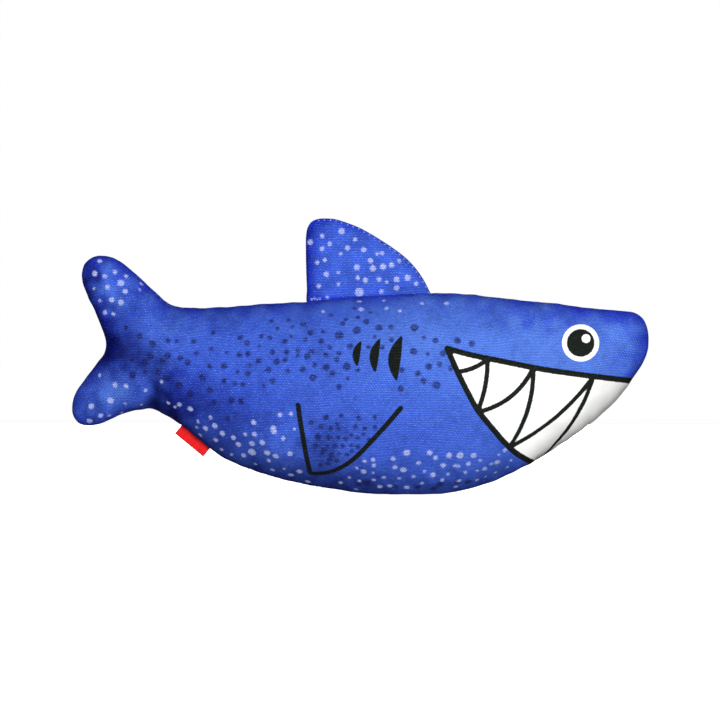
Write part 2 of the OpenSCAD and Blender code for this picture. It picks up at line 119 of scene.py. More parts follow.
# Gills: top end, bottom end, bulge of the outer and of the inner edge
GILLS = [
    ((0.2, 90), (-1.9, 76.4), 3.1, -0.3),
    ((11.4, 91.4), (8.8, 72.8), 4, -0.3),
    ((24.4, 93), (21.4, 67.8), 5.8, -0.5),
]
GILL_ROUNDING = 0.6

# ---- Print: dots as (x, z, radius) ----

FIN_DOTS = [
    (-29.5, 149, 1.6), (-22.5, 152.5, 1.3), (-11, 155.5, 1.8), (-18, 148, 1.3), (-22.5, 145, 1.3),
    (-21, 138.5, 1.2), (-25.5, 137, 1.2), (-11.5, 142, 1), (-7.5, 145.5, 1.5), (-3, 150.5, 1.2),
    (2, 144.5, 1.5), (-20, 130, 1.5), (-13, 131, 0.9), (-13, 124, 1), (-24.5, 123, 1.3), (-2, 134, 1.7),
    (6, 138, 1.5), (7.5, 133.5, 1.8), (10, 142, 1), (13, 142.5, 1.2), (13.5, 134.5, 1.8),
    (18.5, 135.5, 1.6), (23, 138, 1.2), (-1.5, 128, 1.3), (3, 126.5, 1.5), (11, 127, 1.4), (15.5, 125.5, 1),
    (21.5, 127, 1.7), (28, 128, 1.8), (21.5, 122, 1.6), (12.5, 120, 1.2), (-0.5, 119.5, 2.5),
    (33, 124.5, 1.3), (-19.5, 116.5, 0.9), (-28.6, 115.4, 0.6), (-27, 115.8, 0.6), (-25.4, 115.4, 0.6),
    (-23.6, 115.7, 0.5),
]
PALE_DOTS = [
    # tail, upper lobe
    (-154, 138, 1.4), (-157, 130.5, 1.7), (-151, 129, 1.4), (-145, 131.5, 1.4), (-138.5, 129, 1.3),
    (-141.5, 125, 2), (-149.5, 122.5, 1.4), (-139, 120, 1.5), (-157.5, 121.5, 1), (-147, 115, 1.5),
    (-141.5, 113.5, 1.7), (-154, 114.5, 1.1), (-151, 107.5, 1.4), (-146, 106.5, 1.1), (-129.5, 124.5, 1.2),
    (-130.5, 121, 1),
    # tail, lower lobe
    (-154, 70.5, 1.1), (-145, 64.5, 1.7), (-138.5, 64, 1.4), (-127, 61.5, 1.1), (-147.5, 55.5, 1.9),
    (-159, 52, 1.6), (-139, 53.5, 1), (-153.5, 46.5, 1.5), (-160, 43.5, 1.7), (-148.5, 46.5, 1),
    (-129.5, 53, 0.9), (-141, 48.5, 1),
    # belly, rear
    (-117.5, 66.5, 1.1), (-113.5, 54, 1.2), (-107, 53, 1.4), (-109.5, 51.5, 1), (-100.5, 50.5, 1.6),
    (-96, 43, 1.1), (-88.5, 45.5, 1.2), (-86, 40.5, 1.7), (-91.5, 39, 1.6), (-96.5, 39.5, 1.1),
    (-94.5, 35, 1.3), (-81.5, 36, 1.7), (-85.5, 32, 1.5), (-75, 33.5, 1.5), (-72, 29.5, 1.7),
    (-68, 35.5, 1.2), (-62.5, 35.5, 1.5), (-63, 42.5, 1.5), (-64, 30, 1.8), (-58, 30.5, 1.7),
    (-51.5, 39, 1.6), (-51, 37, 1.5), (-47.5, 47, 1.3), (-41, 47.5, 1.2), (-39, 38.5, 0.9),
    (-45.5, 33, 1.3), (-55, 24.5, 1.9), (-64, 25, 2.4), (-69, 23, 1.6), (-50, 22.5, 1.8), (-41.5, 24, 1.6),
    (-54, 20, 1.3), (-52, 14.5, 1.4), (-41, 11.5, 1.8), (-36, 13.5, 1.8), (-45, 15, 1), (-76, 23.5, 1.1),
    (-82, 26.5, 1.3), (-62, 18, 1), (-31, 7.5, 1.6),
    # belly, middle and front
    (7.5, 20.5, 1.3), (2.5, 19.5, 1.2), (8, 17, 1.2), (2, 13.5, 1.6), (-2, 15.5, 0.9), (19.5, 21, 1.4),
    (27.5, 24.5, 2), (34.5, 18.5, 1.4), (41, 24.5, 1.6), (44.5, 21.5, 1.4), (52.5, 23, 1.7), (59, 23, 2.1),
    (67, 23, 1.7), (20.5, 16, 1.4), (25.5, 14.5, 1.8), (49, 17, 1.6), (56, 17, 1.1), (58, 16.5, 1.1),
    (64, 18, 1.4), (71, 20, 1), (77.5, 18, 1), (81, 19, 1.7), (85.5, 26, 1.3), (82, 23.5, 0.8), (89, 20, 1),
    (87, 16, 1.1), (73.5, 15, 1.5), (69, 14, 0.9), (62, 13, 1.2), (80, 13, 1.1), (74, 10.5, 0.9),
    (69, 8.5, 1.2), (43, 11.5, 1.7), (38, 13.5, 0.9), (31.5, 10.5, 1.1), (23, 9.5, 1.1), (14, 10, 1.1),
    (8, 8.5, 1.2), (11.5, 4.5, 1.7), (17.5, 5, 1.4), (27.5, 4, 1.6), (36.5, 6.5, 1.1), (48.5, 8.5, 1.3),
    (52, 12, 1.1), (56.5, 4.5, 1.3), (58.5, 8, 1.4), (-11.5, 7, 1.4), (-6.5, 10, 0.9), (-0.5, 8, 1.1),
    (-2.5, 3, 1.1), (7.5, 12.5, 0.7),
    # back, under the fin
    (-22, 108, 1.1), (0.5, 109.5, 1.7), (15.5, 110, 1.3), (23.5, 108.5, 1.2), (36.5, 113, 1.3),
    (51, 113, 1.6), (-0.5, 114, 1.5), (14, 114.5, 1.2),
]
DARK_DOTS = [
    # tail and its root
    (-138.5, 98.5, 1.6), (-130.5, 93.5, 1.8), (-123, 89, 2.1), (-113.5, 91, 1.5), (-108.5, 90.5, 1.3),
    (-98.5, 90.5, 1.7), (-87, 95.5, 1.5), (-141.5, 82.5, 1.9), (-135, 79.5, 1.6), (-124, 81.5, 1.7),
    (-127, 78, 1.9), (-117, 79, 1.9), (-114, 82, 2.1), (-106.5, 80.5, 1.7), (-102, 78, 1.9),
    (-97, 83.5, 1.4), (-88, 86, 1.4), (-134.5, 70.5, 2.1), (-119.5, 72, 2.1), (-114, 68.5, 1.7),
    (-127, 72, 1.4), (-107, 64.5, 2.4), (-100.5, 59.5, 2.2), (-93.5, 69, 2.2), (-89, 75.5, 1.6),
    (-80.5, 76, 2), (-89, 61.5, 1.9), (-80.5, 67, 1.7), (-86.5, 54.5, 1.6), (-76, 55.5, 2),
    (-70.5, 55, 1.9), (-78.5, 45, 1.6), (-74, 65.5, 1.4), (-69, 65, 1.2), (-66.5, 71.5, 1.8),
    (-72.5, 72.5, 1.2), (-65.5, 76.5, 1.3), (-71.5, 82.5, 1.8), (-66.5, 83, 1.7), (-71, 92.5, 1.8),
    (-67, 89.5, 1.7), (-79, 84, 1.1),
    # upper flank
    (-58.5, 93.5, 1.5), (-53.5, 92.5, 1.5), (-60, 79, 1.8), (-52, 84, 1.8), (-49.5, 78.5, 1.9),
    (-54.5, 73.5, 1.8), (-52, 67, 1.8), (-44.5, 90.5, 1.8), (-41, 93.5, 1.1), (-43.5, 84, 1.7),
    (-44.5, 79.5, 1.6), (-37, 85.5, 1.4), (-37, 82, 1.2), (-43, 73, 1.5), (-34, 74, 1.9),
    (-31.5, 81.5, 1.9), (-29, 84, 1.7), (-28, 69, 2.2), (-27, 76.5, 1.6), (-32.5, 91.5, 1.5),
    (-29.5, 95.5, 1.9), (-33.5, 100.5, 1.7), (-40, 99, 1.3), (-42.5, 103, 1.4), (-49, 98, 1.4),
    (-52.5, 102.5, 1.4), (-17.5, 106, 1.3), (-8.5, 103.5, 1.4), (-10.5, 101, 1.8), (-1.5, 104.5, 1.5),
    (3.5, 102, 2), (6, 107.5, 1.2), (-3.5, 110, 1.2), (-22, 96, 1.4), (-12.5, 94, 2.7), (-2, 97, 2.6),
    (11, 98.5, 2.2), (18, 99, 1.7), (8.5, 93, 1.3), (18.5, 91.5, 1.7), (32, 98.5, 2.4), (37.5, 92.5, 1.2),
    (44.5, 91, 1.8), (57.5, 91, 2.1), (66, 89, 1.9), (-23, 90.5, 1.8), (-18, 87, 1.5), (-6, 87.5, 1.9),
    (5, 87, 1.5), (13, 87, 1.5), (31.5, 84.5, 2.2), (40, 83, 1.2), (49, 83.5, 1.9), (-20.5, 82.5, 1.6),
    (-12.5, 83.5, 1.5), (-14, 79.5, 1.7), (-20, 75, 2.1), (-8, 75.5, 2.4), (-1.5, 73.5, 1.4),
    (-16.5, 71.5, 1.7), (-7.5, 68.5, 1.2), (-12.5, 63.5, 1.7), (24.5, 73.5, 1.7), (40.5, 75.5, 2.1),
    (47, 77, 1.6), (34, 71.5, 1.8), (37.5, 67, 1.9), (45, 64.5, 2.4), (24, 62.5, 1.9), (53.5, 74.5, 1.6),
    (-70, 65, 1.3), (-70.5, 54.5, 1.7), (-60, 87.5, 1), (-57, 64, 1.2),
    # inside the pectoral fin
    (-20.5, 45.5, 1.9), (-11.5, 46.5, 1.4), (-1, 45, 1.6), (8.5, 45.5, 1.4), (-29, 42.5, 1.6),
    (-23, 40, 1.7), (-17.5, 39, 1.4), (-13, 39, 1.3), (-14, 41.5, 1.1), (-3, 40, 1.5), (2.5, 39, 1.5),
    (8.5, 39.5, 1.5), (-25, 34, 2.1), (-18.5, 33.5, 1.8), (-13, 33.5, 1.3), (-8.5, 33, 1.7),
    (-5.5, 35, 1.1), (-1.5, 33.5, 1.4), (2, 35.5, 1.2), (5, 32.5, 1.2), (-26.5, 29, 1.5), (-21.5, 26, 1.7),
    (-19.5, 28, 1.3), (-15, 28.5, 1.5), (-10.5, 28.5, 1.7), (-5, 29, 1.3), (-1.5, 28, 1.6), (-17, 23, 2.1),
    (-12.5, 24, 1.4), (-8, 23.5, 1.4), (-5, 25.5, 1.3), (-22.5, 24, 1.1), (-18, 20.5, 1.9), (-14, 20, 1.7),
    (-23.5, 17.5, 1.6), (-19, 18, 1.4),
    # belly's edge
    (34, 4.5, 2), (47, 6, 2.2), (57.5, 7, 2), (63.5, 7.5, 2.1), (43.5, 3.5, 2), (20.5, 4.5, 2), (4, 7, 2.6),
    (-1, 5.5, 2),
]

# ---- Numbers of the filled shape ----

CELL = 1.2              # grid of the height solution
HALF_THICKNESS = 39.6   # widest half thickness
RIM = 5.0               # width of the band of rings along the seam, in the flank's plane
GROOVE = 0.5            # depth of the seam line between the two rounded edges
GROOVE_REACH = 1.6
SEAM_ROOM = 0.5         # the outline is grown by this, and the groove takes it back at the seam
FLOOR_EASE = 0.9        # how softly the belly rounds off where it presses on the floor
EDGE_SHARE = 0.35       # share of an inner layer's depth that is left at the seam
SOLVER_STEPS = 900      # most steps of the height solution, and the rest that it may leave
SOLVER_REST = 1e-9
TRUSTED = 1.6           # cells from the seam where the solved height is used as it is
SLOPE_PASSES = 14       # passes that carry its slope out from there, past the seam
# Unevenness of the skin: wavelength and height
LUMPS, SMALL_LUMPS, RIPPLE, GATHERS = (34, 0.42), (17, 0.14), (8.5, 0.06), (11, 0.2)
GATHERS_AT, GATHERS_REACH = 6, 4


# ---- Plane geometry ----


def between(a, b, ta, tb, t):
    return (tb - t) / (tb - ta) * a + (t - ta) / (tb - ta) * b


def smooth_line(points, step, closed=False):
    """Points every step along a centripetal curve through points."""
    p = np.array(points, float)
    p = np.array([p[-1], *p, p[0], p[1]] if closed else [2 * p[0] - p[1], *p, 2 * p[-1] - p[-2]])
    dense = []
    for a, b, c, d in zip(p, p[1:], p[2:], p[3:]):
        t0 = 0.0
        t1 = t0 + np.linalg.norm(b - a) ** 0.5
        t2 = t1 + np.linalg.norm(c - b) ** 0.5
        t3 = t2 + np.linalg.norm(d - c) ** 0.5
        t = np.linspace(t1, t2, 24, endpoint=False)[:, None]
        ab, bc, cd = between(a, b, t0, t1, t), between(b, c, t1, t2, t), between(c, d, t2, t3, t)
        dense.append(between(between(ab, bc, t0, t2, t), between(bc, cd, t1, t3, t), t1, t2, t))
    dense = np.vstack([*dense, p[-2][None]])
    length = np.concatenate([[0], np.cumsum(np.linalg.norm(np.diff(dense, axis=0), axis=1))])
    count = max(int(round(length[-1] / step)), 3)
    at = np.linspace(0, length[-1], count + 1)
    line = np.stack([np.interp(at, length, dense[:, k]) for k in (0, 1)], axis=1)
    return line[:-1] if closed else line


def edge_of(points, step, grow=0.0):
    """A closed smooth line through points, grown outward."""
    line = smooth_line(points, step, closed=True)
    return line - inward_normals(line) * grow


def segments_of(line, closed):
    return (line, np.roll(line, -1, axis=0)) if closed else (line[:-1], line[1:])


def distance_to(line, p, closed=False):
    """Distance from points p to a line of points."""
    best = np.full(len(p), 1e9)
    for a, b in zip(*segments_of(line, closed)):
        d = b - a
        t = np.clip(((p - a) @ d) / max(d @ d, 1e-12), 0, 1)
        away = p - a - t[:, None] * d
        best = np.minimum(best, (away * away).sum(1))
    return np.sqrt(best)


def upright(p, y=0.0):
    """Points of the drawing's plane in space, at y."""
    return np.column_stack([p[:, 0], np.broadcast_to(y, len(p)), p[:, 1]])


def signed_distance(line, p):
    """Distance to a closed line, positive inside it."""
    inside = np.zeros(len(p), bool)
    for a, b in zip(*segments_of(line, True)):
        spans = (a[1] > p[:, 1]) != (b[1] > p[:, 1])
        if a[1] != b[1]:
            cross = a[0] + (p[:, 1] - a[1]) * (b[0] - a[0]) / (b[1] - a[1])
            inside ^= spans & (p[:, 0] < cross)
    away = distance_to(line, p, True)
    return np.where(inside, away, -away)


def inward_normals(line):
    """Unit vectors into a closed line."""
    d = np.roll(line, -1, axis=0) - np.roll(line, 1, axis=0)
    n = np.stack([-d[:, 1], d[:, 0]], axis=1)
    n /= np.linalg.norm(n, axis=1)[:, None]
    area = (line[:, 0] * np.roll(line[:, 1], -1) - line[:, 1] * np.roll(line[:, 0], -1)).sum()
    return n if area > 0 else -n


def smoothstep(x, low, high):
    t = np.clip((x - low) / (high - low), 0, 1)
    return t * t * (3 - 2 * t)


def bump_at(x, middle, reach):
    """1 at the middle, falling off smoothly over the reach to each side."""
    return np.exp(-(((x - middle) / reach) ** 2))


class Waves:
    """Smooth noise: a sum of plane waves about one wavelength long."""

    def __init__(self, wavelength, seed, spread=0.35):
        count = 36
        rng = np.random.default_rng(seed)
        turn = rng.uniform(0, 2 * math.pi, count)
        length = wavelength * rng.uniform(1 - spread, 1 + spread, count)
        self.k = np.stack([np.cos(turn), np.sin(turn)], axis=1) * (2 * math.pi / length)[:, None]
        self.phase = rng.uniform(0, 2 * math.pi, count)
        self.gain = math.sqrt(2 / count)

    def __call__(self, p):
        out = np.zeros(len(p))
        for k, phase in zip(self.k, self.phase):
            out += np.cos(p @ k + phase)
        return out * self.gain


def waviness(wave, seed, p, spread=0.35):
    length, height = wave
    return Waves(length, seed, spread)(p) * height


class Field:
    """A smooth function on a square grid, read with cubic interpolation."""

    def __init__(self, values, low, cell):
        self.values = values
        self.low = low
        self.cell = cell

    def __call__(self, p):
        q = (p - self.low) / self.cell
        i = np.floor(q).astype(int)
        t = q - i
        weights = 0.5 * np.stack([
            -t + 2 * t**2 - t**3, 2 - 5 * t**2 + 3 * t**3, t + 4 * t**2 - 3 * t**3, -(t**2) + t**3,
        ])
        last = np.array(self.values.shape) - 1
        out = np.zeros(len(p))
        for a in range(4):
            for b in range(4):
                x, z = np.clip(i + [a - 1, b - 1], 0, last).T
                out += weights[a, :, 0] * weights[b, :, 1] * self.values[x, z]
        return out


# ---- The filled shape ----

STEPS = ((1, 0), (-1, 0), (0, 1), (0, -1))


def grid_over(outline, cell, margin):
    """The low corner, size and nodes of a square grid over an outline and a margin round it."""
    low = outline.min(0) - margin
    size = np.ceil((outline.max(0) + margin - low) / cell).astype(int) + 1
    x, z = np.meshgrid(*(low[k] + cell * np.arange(size[k]) for k in (0, 1)), indexing="ij")
    return low, size, np.stack([x.ravel(), z.ravel()], axis=1)


def shifted(a, dx, dz, fill=0.0):
    out = np.full_like(a, fill)
    rows, columns = a.shape
    out[max(dx, 0):rows + min(dx, 0), max(dz, 0):columns + min(dz, 0)] = a[
        max(-dx, 0):rows + min(-dx, 0), max(-dz, 0):columns + min(-dz, 0)
    ]
    return out


class Bag:
    """The filled form of a flat outline: squared half thickness from a stretched membrane's height."""

    def __init__(self, outline, cell, half):
        self.outline = outline
        low, size, nodes = grid_over(outline, cell, 4 * cell)
        away = signed_distance(outline, nodes).reshape(size)
        inside = away > 0
        diagonal = np.zeros_like(away)
        links = []
        for step in STEPS:
            other = shifted(away, *step, fill=-cell)
            near = inside & (other > 0)
            share = np.clip(away / np.maximum(away - other, 1e-9), 0.05, 1)
            diagonal += np.where(near, 1, 1 / share)
            links.append((step, near))
        diagonal = np.where(inside, diagonal, 1)

        def apply(u):
            out = diagonal * u
            for step, near in links:
                out -= np.where(near, shifted(u, *step), 0)
            return np.where(inside, out, 0)

        # conjugate gradients
        right = np.where(inside, cell * cell, 0.0)
        u = np.zeros_like(right)
        r = right - apply(u)
        s = r / diagonal
        d = s.copy()
        rs = (r * s).sum()
        for _ in range(SOLVER_STEPS):
            ad = apply(d)
            a = rs / (d * ad).sum()
            u += a * d
            r -= a * ad
            s = r / diagonal
            new = (r * s).sum()
            if new < SOLVER_REST * (right * right).sum():
                break
            d = s + new / rs * d
            rs = new
        # near the seam the height is its distance times a slope carried out from further in
        known = away > TRUSTED * cell
        slope = np.where(known, u / np.maximum(away, 1e-6), 0)
        filled = known.astype(float)
        for _ in range(SLOPE_PASSES):
            weight = sum(shifted(filled, *step) for step in STEPS)
            total = sum(shifted(slope * filled, *step) for step in STEPS)
            slope = np.where(known, slope, np.where(weight > 0, total / np.maximum(weight, 1e-9), slope))
            filled = np.where(known | (weight > 0), 1.0, 0.0)
        u = np.where(known, u, slope * away)
        gain = half**2 / u.max()
        self.u = Field(u * gain, low, cell)
        self.slope = Field(slope * gain, low, cell)

    def half(self, p, away):
        """Half thickness at points p, at their distance away from the outline."""
        blend = smoothstep(away, 2.2, 4.2)
        squared = (1 - blend) * self.slope(p) * away + blend * self.u(p)
        return np.sqrt(np.maximum(squared, 0))


def face_normals(points, faces):
    """Normals of faces, from their first three corners."""
    a, b, c = (points[faces[:, k]] for k in range(3))
    return np.cross(b - a, c - a)


class Flank:
    """One cloth face over an outline: rings along the seam, then an even net of triangles."""

    def __init__(self, outline, pitch, rings, rim):
        self.outline = outline
        self.count = len(outline)
        self.rings = rings
        normal = inward_normals(outline)
        depth = rim * (np.arange(rings + 1) / rings) ** 2
        points = [outline + normal * d for d in depth]
        inner = points[-1]
        low, high = inner.min(0), inner.max(0)
        rise = pitch * math.sqrt(3) / 2
        lattice = []
        for j in range(int((high[1] - low[1]) / rise) + 1):
            x = np.arange(low[0] + (j % 2) * pitch / 2, high[0], pitch)
            lattice.append(np.stack([x, np.full(len(x), low[1] + j * rise)], axis=1))
        lattice = np.vstack(lattice)
        lattice = lattice[signed_distance(inner, lattice) > 0.62 * pitch]
        corners = [Vector(p) for p in np.vstack([inner, lattice])]
        out, _, faces, sources, _, _ = delaunay_2d_cdt(corners, [], [list(range(self.count))], 1, 1e-6)
        # the net's own points, where it added any, go after the given ones
        added = [j for j, source in enumerate(sources) if not source]
        index = [s[0] if s else len(corners) + added.index(j) for j, s in enumerate(sources)]
        self.triangles = np.array(index)[np.array(faces)] + self.count * rings
        self.points = np.vstack([*points, lattice, *[list(out[j]) for j in added]])
        ring_depth = np.repeat(depth, self.count)
        inside = distance_to(outline, self.points[len(ring_depth):], True)
        self.away = np.concatenate([ring_depth, inside])
        a = np.arange(self.count)
        b = (a + 1) % self.count
        ring = np.stack([a, b, b + self.count, a + self.count], axis=1)
        self.quads = np.vstack([ring + k * self.count for k in range(rings)])
        self.edge_normal = -normal

    def oriented(self, points, towards):
        """Faces as lists, turned so that most look along towards, +1 or -1 in Y."""
        turned = []
        for faces in (self.quads, self.triangles):
            up = face_normals(points, faces)[:, 1].sum()
            turned += (faces[:, ::-1] if up * towards < 0 else faces).tolist()
        return turned

    def normals(self, points, side):
        """Unit normals at points, looking towards side in Y."""
        normal = np.zeros_like(points)
        for tri in (self.triangles, self.quads[:, [0, 1, 2]], self.quads[:, [0, 2, 3]]):
            n = face_normals(points, tri)
            n *= np.sign(n[:, 1] * side)[:, None] + (n[:, 1] == 0)[:, None]
            for k in range(3):
                np.add.at(normal, tri[:, k], n)
        normal /= np.maximum(np.linalg.norm(normal, axis=1), 1e-12)[:, None]
        normal[:self.count] = upright(self.edge_normal)
        return normal


def pressed_on_floor(z):
    """Heights, with those under the floor pressed flat onto it."""
    return (z + np.sqrt(z * z + FLOOR_EASE**2)) / 2


# Folds in the cloth: from, to, half width, depth
FOLDS = [
    ((-121.5, 50), (-122.5, 70), 3.4, 2.6),
    ((-124, 52), (-112, 63), 4.5, 1.1),
    ((-150, 87.5), (-137, 86), 4.2, 2.4),
    ((-148, 88), (-141, 104), 5.0, 1.4),
    ((-147, 84), (-137, 74), 4.5, 1.2),
    ((-117, 113), (-113, 99), 6.0, 1.0),
    ((-142, 60), (-131, 78), 5.0, -0.9),
    ((-137, 122), (-128, 104), 6.0, -0.8),
]


def fold_depth(p):
    out = np.zeros(len(p))
    for start, end, width, depth in FOLDS:
        a, b = np.array(start, float), np.array(end, float)
        d = b - a
        t = (p - a) @ d / (d @ d)
        across = np.abs((p - a) @ np.array([-d[1], d[0]])) / np.linalg.norm(d)
        along = smoothstep(t, -0.25, 0.15) * (1 - smoothstep(t, 0.6, 1.25))
        out += depth * np.exp(-(across / width) ** 2) * along
    return out


def shell(front, front_points, back, back_points, side):
    """A closed shell: one flank looks towards side, the other away from it, and a rim joins their edges."""
    n = len(front_points)
    faces = front.oriented(front_points, side)
    forward = faces[0][:2] == [0, 1]
    for i in range(front.count):
        a, b = (i + 1) % front.count, i
        faces.append([a, b, n + b, n + a] if forward else [b, a, n + a, n + b])
    faces += [[n + i for i in f] for f in back.oriented(back_points, -side)]
    return np.vstack([front_points, back_points]), faces


def along_seam(flank):
    """How far along the outline each point's nearest place on it lies."""
    outline, p = flank.outline, flank.points
    step = np.linalg.norm(np.roll(outline, -1, axis=0) - outline, axis=1)
    arc = np.concatenate([[0], np.cumsum(step)[:-1]])
    ring_total = flank.count * (flank.rings + 1)
    nearest = np.zeros(len(p), int)
    nearest[:ring_total] = np.tile(np.arange(flank.count), flank.rings + 1)
    best = np.full(len(p) - ring_total, 1e9)
    for i in range(0, flank.count, 6):
        d = ((p[ring_total:] - outline[i]) ** 2).sum(1)
        nearest[ring_total:] = np.where(d < best, i, nearest[ring_total:])
        best = np.minimum(best, d)
    return arc[nearest]


def shaped(flank, bag, side, seed, inset=0.0):
    """Points of a flank in space, inset from the skin, and their distances from the seam."""
    p, away = flank.points, flank.away
    y = bag.half(p, away)
    points = upright(p, y * side)
    seam = np.hypot(y, away)
    lumps = waviness(LUMPS, seed, p) + waviness(SMALL_LUMPS, seed + 1, p)
    ripple = waviness(RIPPLE, seed + 2, p)
    run = along_seam(flank)
    run = np.stack([run, np.zeros(len(run))], axis=1)
    gather = waviness(GATHERS, seed + 3, run, spread=0.3) * bump_at(seam, GATHERS_AT, GATHERS_REACH)
    groove = -GROOVE * (1 + 0.12 * Waves(6, seed + 4)(run)) * bump_at(seam, 0, GROOVE_REACH)
    lift = smoothstep(seam, 2, 14)
    move = lumps * lift + ripple * lift + gather + groove
    move -= fold_depth(p) * smoothstep(seam, 0.5, 5)
    move -= inset
    shape = points + flank.normals(points, side) * move[:, None]
    shape[:, 1] = side * np.maximum(shape[:, 1] * side, EDGE_SHARE * inset)
    shape[:flank.count, 1] = side * EDGE_SHARE * inset
    shape[:, 2] = pressed_on_floor(shape[:, 2] - inset) + inset
    return shape, seam


# ---- Cloth coordinates: how far along and across the cloth a point lies ----

FLANK_MIDDLE = (20, 85)


class Cloth:
    """Lengths along the cloth from the middle of the flank, so that a weave or a dot keeps its size on it."""

    def __init__(self, bag, cell=1.5):
        low, size, nodes = grid_over(bag.outline, cell, 3)
        away = signed_distance(bag.outline, nodes)
        y = bag.half(nodes, np.maximum(away, 0)).reshape(size)
        along_x = np.insert(np.cumsum(np.hypot(cell, np.diff(y, axis=0)), axis=0), 0, 0, axis=0)
        along_z = np.insert(np.cumsum(np.hypot(cell, np.diff(y, axis=1)), axis=1), 0, 0, axis=1)
        middle_x, middle_z = ((np.array(FLANK_MIDDLE) - low) / cell).astype(int)
        self.u = Field(along_x - along_x[middle_x][None, :], low, cell)
        self.v = Field(along_z - along_z[:, middle_z][:, None], low, cell)

    def __call__(self, p):
        return np.stack([self.u(p), self.v(p)], axis=1)


def cloth_coordinates(flank, cloth, shape):
    """Coordinates of every point, carried across the rim band ring by ring."""
    out = cloth(flank.points)
    count, rings = flank.count, flank.rings
    base = rings * count
    step = np.zeros(count)
    for k in range(rings - 1, -1, -1):
        a, b = shape[(k + 1) * count:(k + 2) * count], shape[k * count:(k + 1) * count]
        step = step + np.linalg.norm(a - b, axis=1)
        out[k * count:(k + 1) * count] = out[base:base + count] + flank.edge_normal * step[:, None]
    return out


# ---- Print fields ----


def gill_shape(top, bottom, outer, inner):
    a, b = np.array(top, float), np.array(bottom, float)
    t = np.linspace(0, 1, 16)[:, None]
    chord = a + (b - a) * t
    d = b - a
    out = np.array([d[1], -d[0]]) / np.linalg.norm(d)
    out = out if out[0] < 0 else -out
    bow = 4 * t * (1 - t)
    return np.vstack([chord + out * outer * bow, (chord + out * inner * bow)[::-1][1:-1]])


def looked_at(shape):
    """Where points of a shape seem to lie, x and z, seen from the drawing's distance and height."""
    middle = np.array([0, LOOK_HEIGHT])
    nearer = LOOK_DISTANCE / (LOOK_DISTANCE - np.abs(shape[:, 1]))
    return middle + (shape[:, [0, 2]] - middle) * nearer[:, None]


def on_cloth(drawn, p, shape):
    """Drawn points laid on the shape, whose own points seem to lie at p."""
    laid = []
    for point in np.atleast_2d(np.asarray(drawn, float)):
        gap = ((p - point) ** 2).sum(1)
        near = np.argpartition(gap, 8)[:8]
        share = 1 / (gap[near] + 0.3) ** 2
        share /= share.sum()
        shift = point - share @ p[near]
        laid.append(share @ shape[near] + np.array([shift[0], 0, shift[1]]))
    return np.array(laid)


def dot_field(dots, p, shape, wobble):
    """Distance outside the nearest dot, negative inside one: each dot is round on the cloth where it lies."""
    best = np.full(len(p), 30.0)
    centres = on_cloth([d[:2] for d in dots], p, shape)
    for centre, (_, _, radius) in zip(centres, dots):
        best = np.minimum(best, np.linalg.norm(shape - centre, axis=1) - radius)
    return best + wobble


def bowed(start, end, bow):
    """A line from start to end that bends by bow to its right."""
    a, b = np.array(start, float), np.array(end, float)
    t = np.linspace(0, 1, 14)[:, None]
    d = b - a
    right = np.array([d[1], -d[0]]) / np.linalg.norm(d)
    return a + d * t + right * bow * 4 * t * (1 - t)


def print_fields(p, shape, seed):
    """Distances in millimetres for each printed layer, negative inside it."""
    lip, jaw = smooth_line(LIP, 2), smooth_line(JAW, 2)
    white_shape = np.vstack([jaw, np.array(WHITE_CORNERS, float), lip[::-1][:-1]])
    white = -signed_distance(white_shape, p)
    eye = np.hypot(*(p - np.array(EYE)).T)
    white = np.minimum(white, eye - EYE_RING)
    ink = np.minimum(distance_to(lip, p), distance_to(jaw, p)) - MOUTH_WIDTH / 2
    strokes = [(bowed(*tooth), TOOTH_WIDTH) for tooth in TEETH]
    strokes += [(smooth_line(line, 2), PECTORAL_WIDTH) for line in PECTORAL]
    for line, width in strokes:
        ink = np.minimum(ink, distance_to(on_cloth(line, p, shape), shape) - width / 2)
    for gill in GILLS:
        ink = np.minimum(ink, -signed_distance(gill_shape(*gill), p) - GILL_ROUNDING)
    ink = np.minimum(ink, eye - PUPIL)
    glint = np.hypot(*(p - np.array(GLINT)).T) - GLINT_RADIUS
    ink = np.maximum(ink, -glint)
    wobble = 0.12 * Waves(2.6, seed)(p)
    ink = ink + 0.05 * Waves(1.8, seed + 1)(p)
    pale = dot_field(PALE_DOTS, p, shape, wobble)
    dark = dot_field(DARK_DOTS, p, shape, wobble)
    return {"ink": ink, "white": white, "pale": pale, "dark": dark}


# Colours of the print, in linear light; the lighter blue is partly a painted highlight on the head
BLUE_LIGHT = np.array([0.1, 0.226, 0.8])
BLUE_MID = np.array([0.048, 0.116, 0.64])
# What the deepest wash, the rich blue along the seams and the palest wash each make of a colour; the first
# two also carry painted shade, the last painted highlights
DEEPER = np.array([0.06, 0.06, 0.2])
EDGE_BLUE = np.array([0.03, 0.05, 0.74])
PALER = np.array([2.1, 2.0, 1.35])
# Patches of deeper, richer and paler blue, partly print washes, partly painted shade in creases, at edges and
# under the belly, and painted highlights: x, z, half width, half height, strength
# deeper print with painted shade in the tail's fork and root creases and low on the body
DEEPER_PRINT_AND_SHADE = [
    (-149, 87, 12, 14, 1.0), (-128, 80, 13, 12, 0.66), (-118, 60, 7, 11, 0.78), (-106, 55, 14, 13, 0.66),
    (-78, 43, 26, 15, 0.46), (-24, 84, 8, 18, 0.18), (-20, 31, 11, 16, 0.52), (-158, 54, 6, 10, 0.3),
    (-92, 104, 32, 7, 0.15), (-153, 106, 7, 9, 0.6), (-20, 10, 34, 6, 0.45), (55, 6, 34, 4, 0.3),
    (-161, 123, 6, 14, 0.7), (-113, 52, 9, 8, 0.5), (-142, 70, 15, 6, 0.25), (-161, 47, 6, 8, 0.35),
]
# richer print with painted shade at the tail root, in the fork, along the back's front edge and at the nose
RICHER_PRINT_AND_SHADE = [
    (-106, 60, 15, 16, 0.5), (-78, 52, 26, 18, 0.3), (110, 107, 48, 7, 0.45), (-149, 88, 12, 17, 0.6),
    (158, 74, 8, 8, 0.3),
]
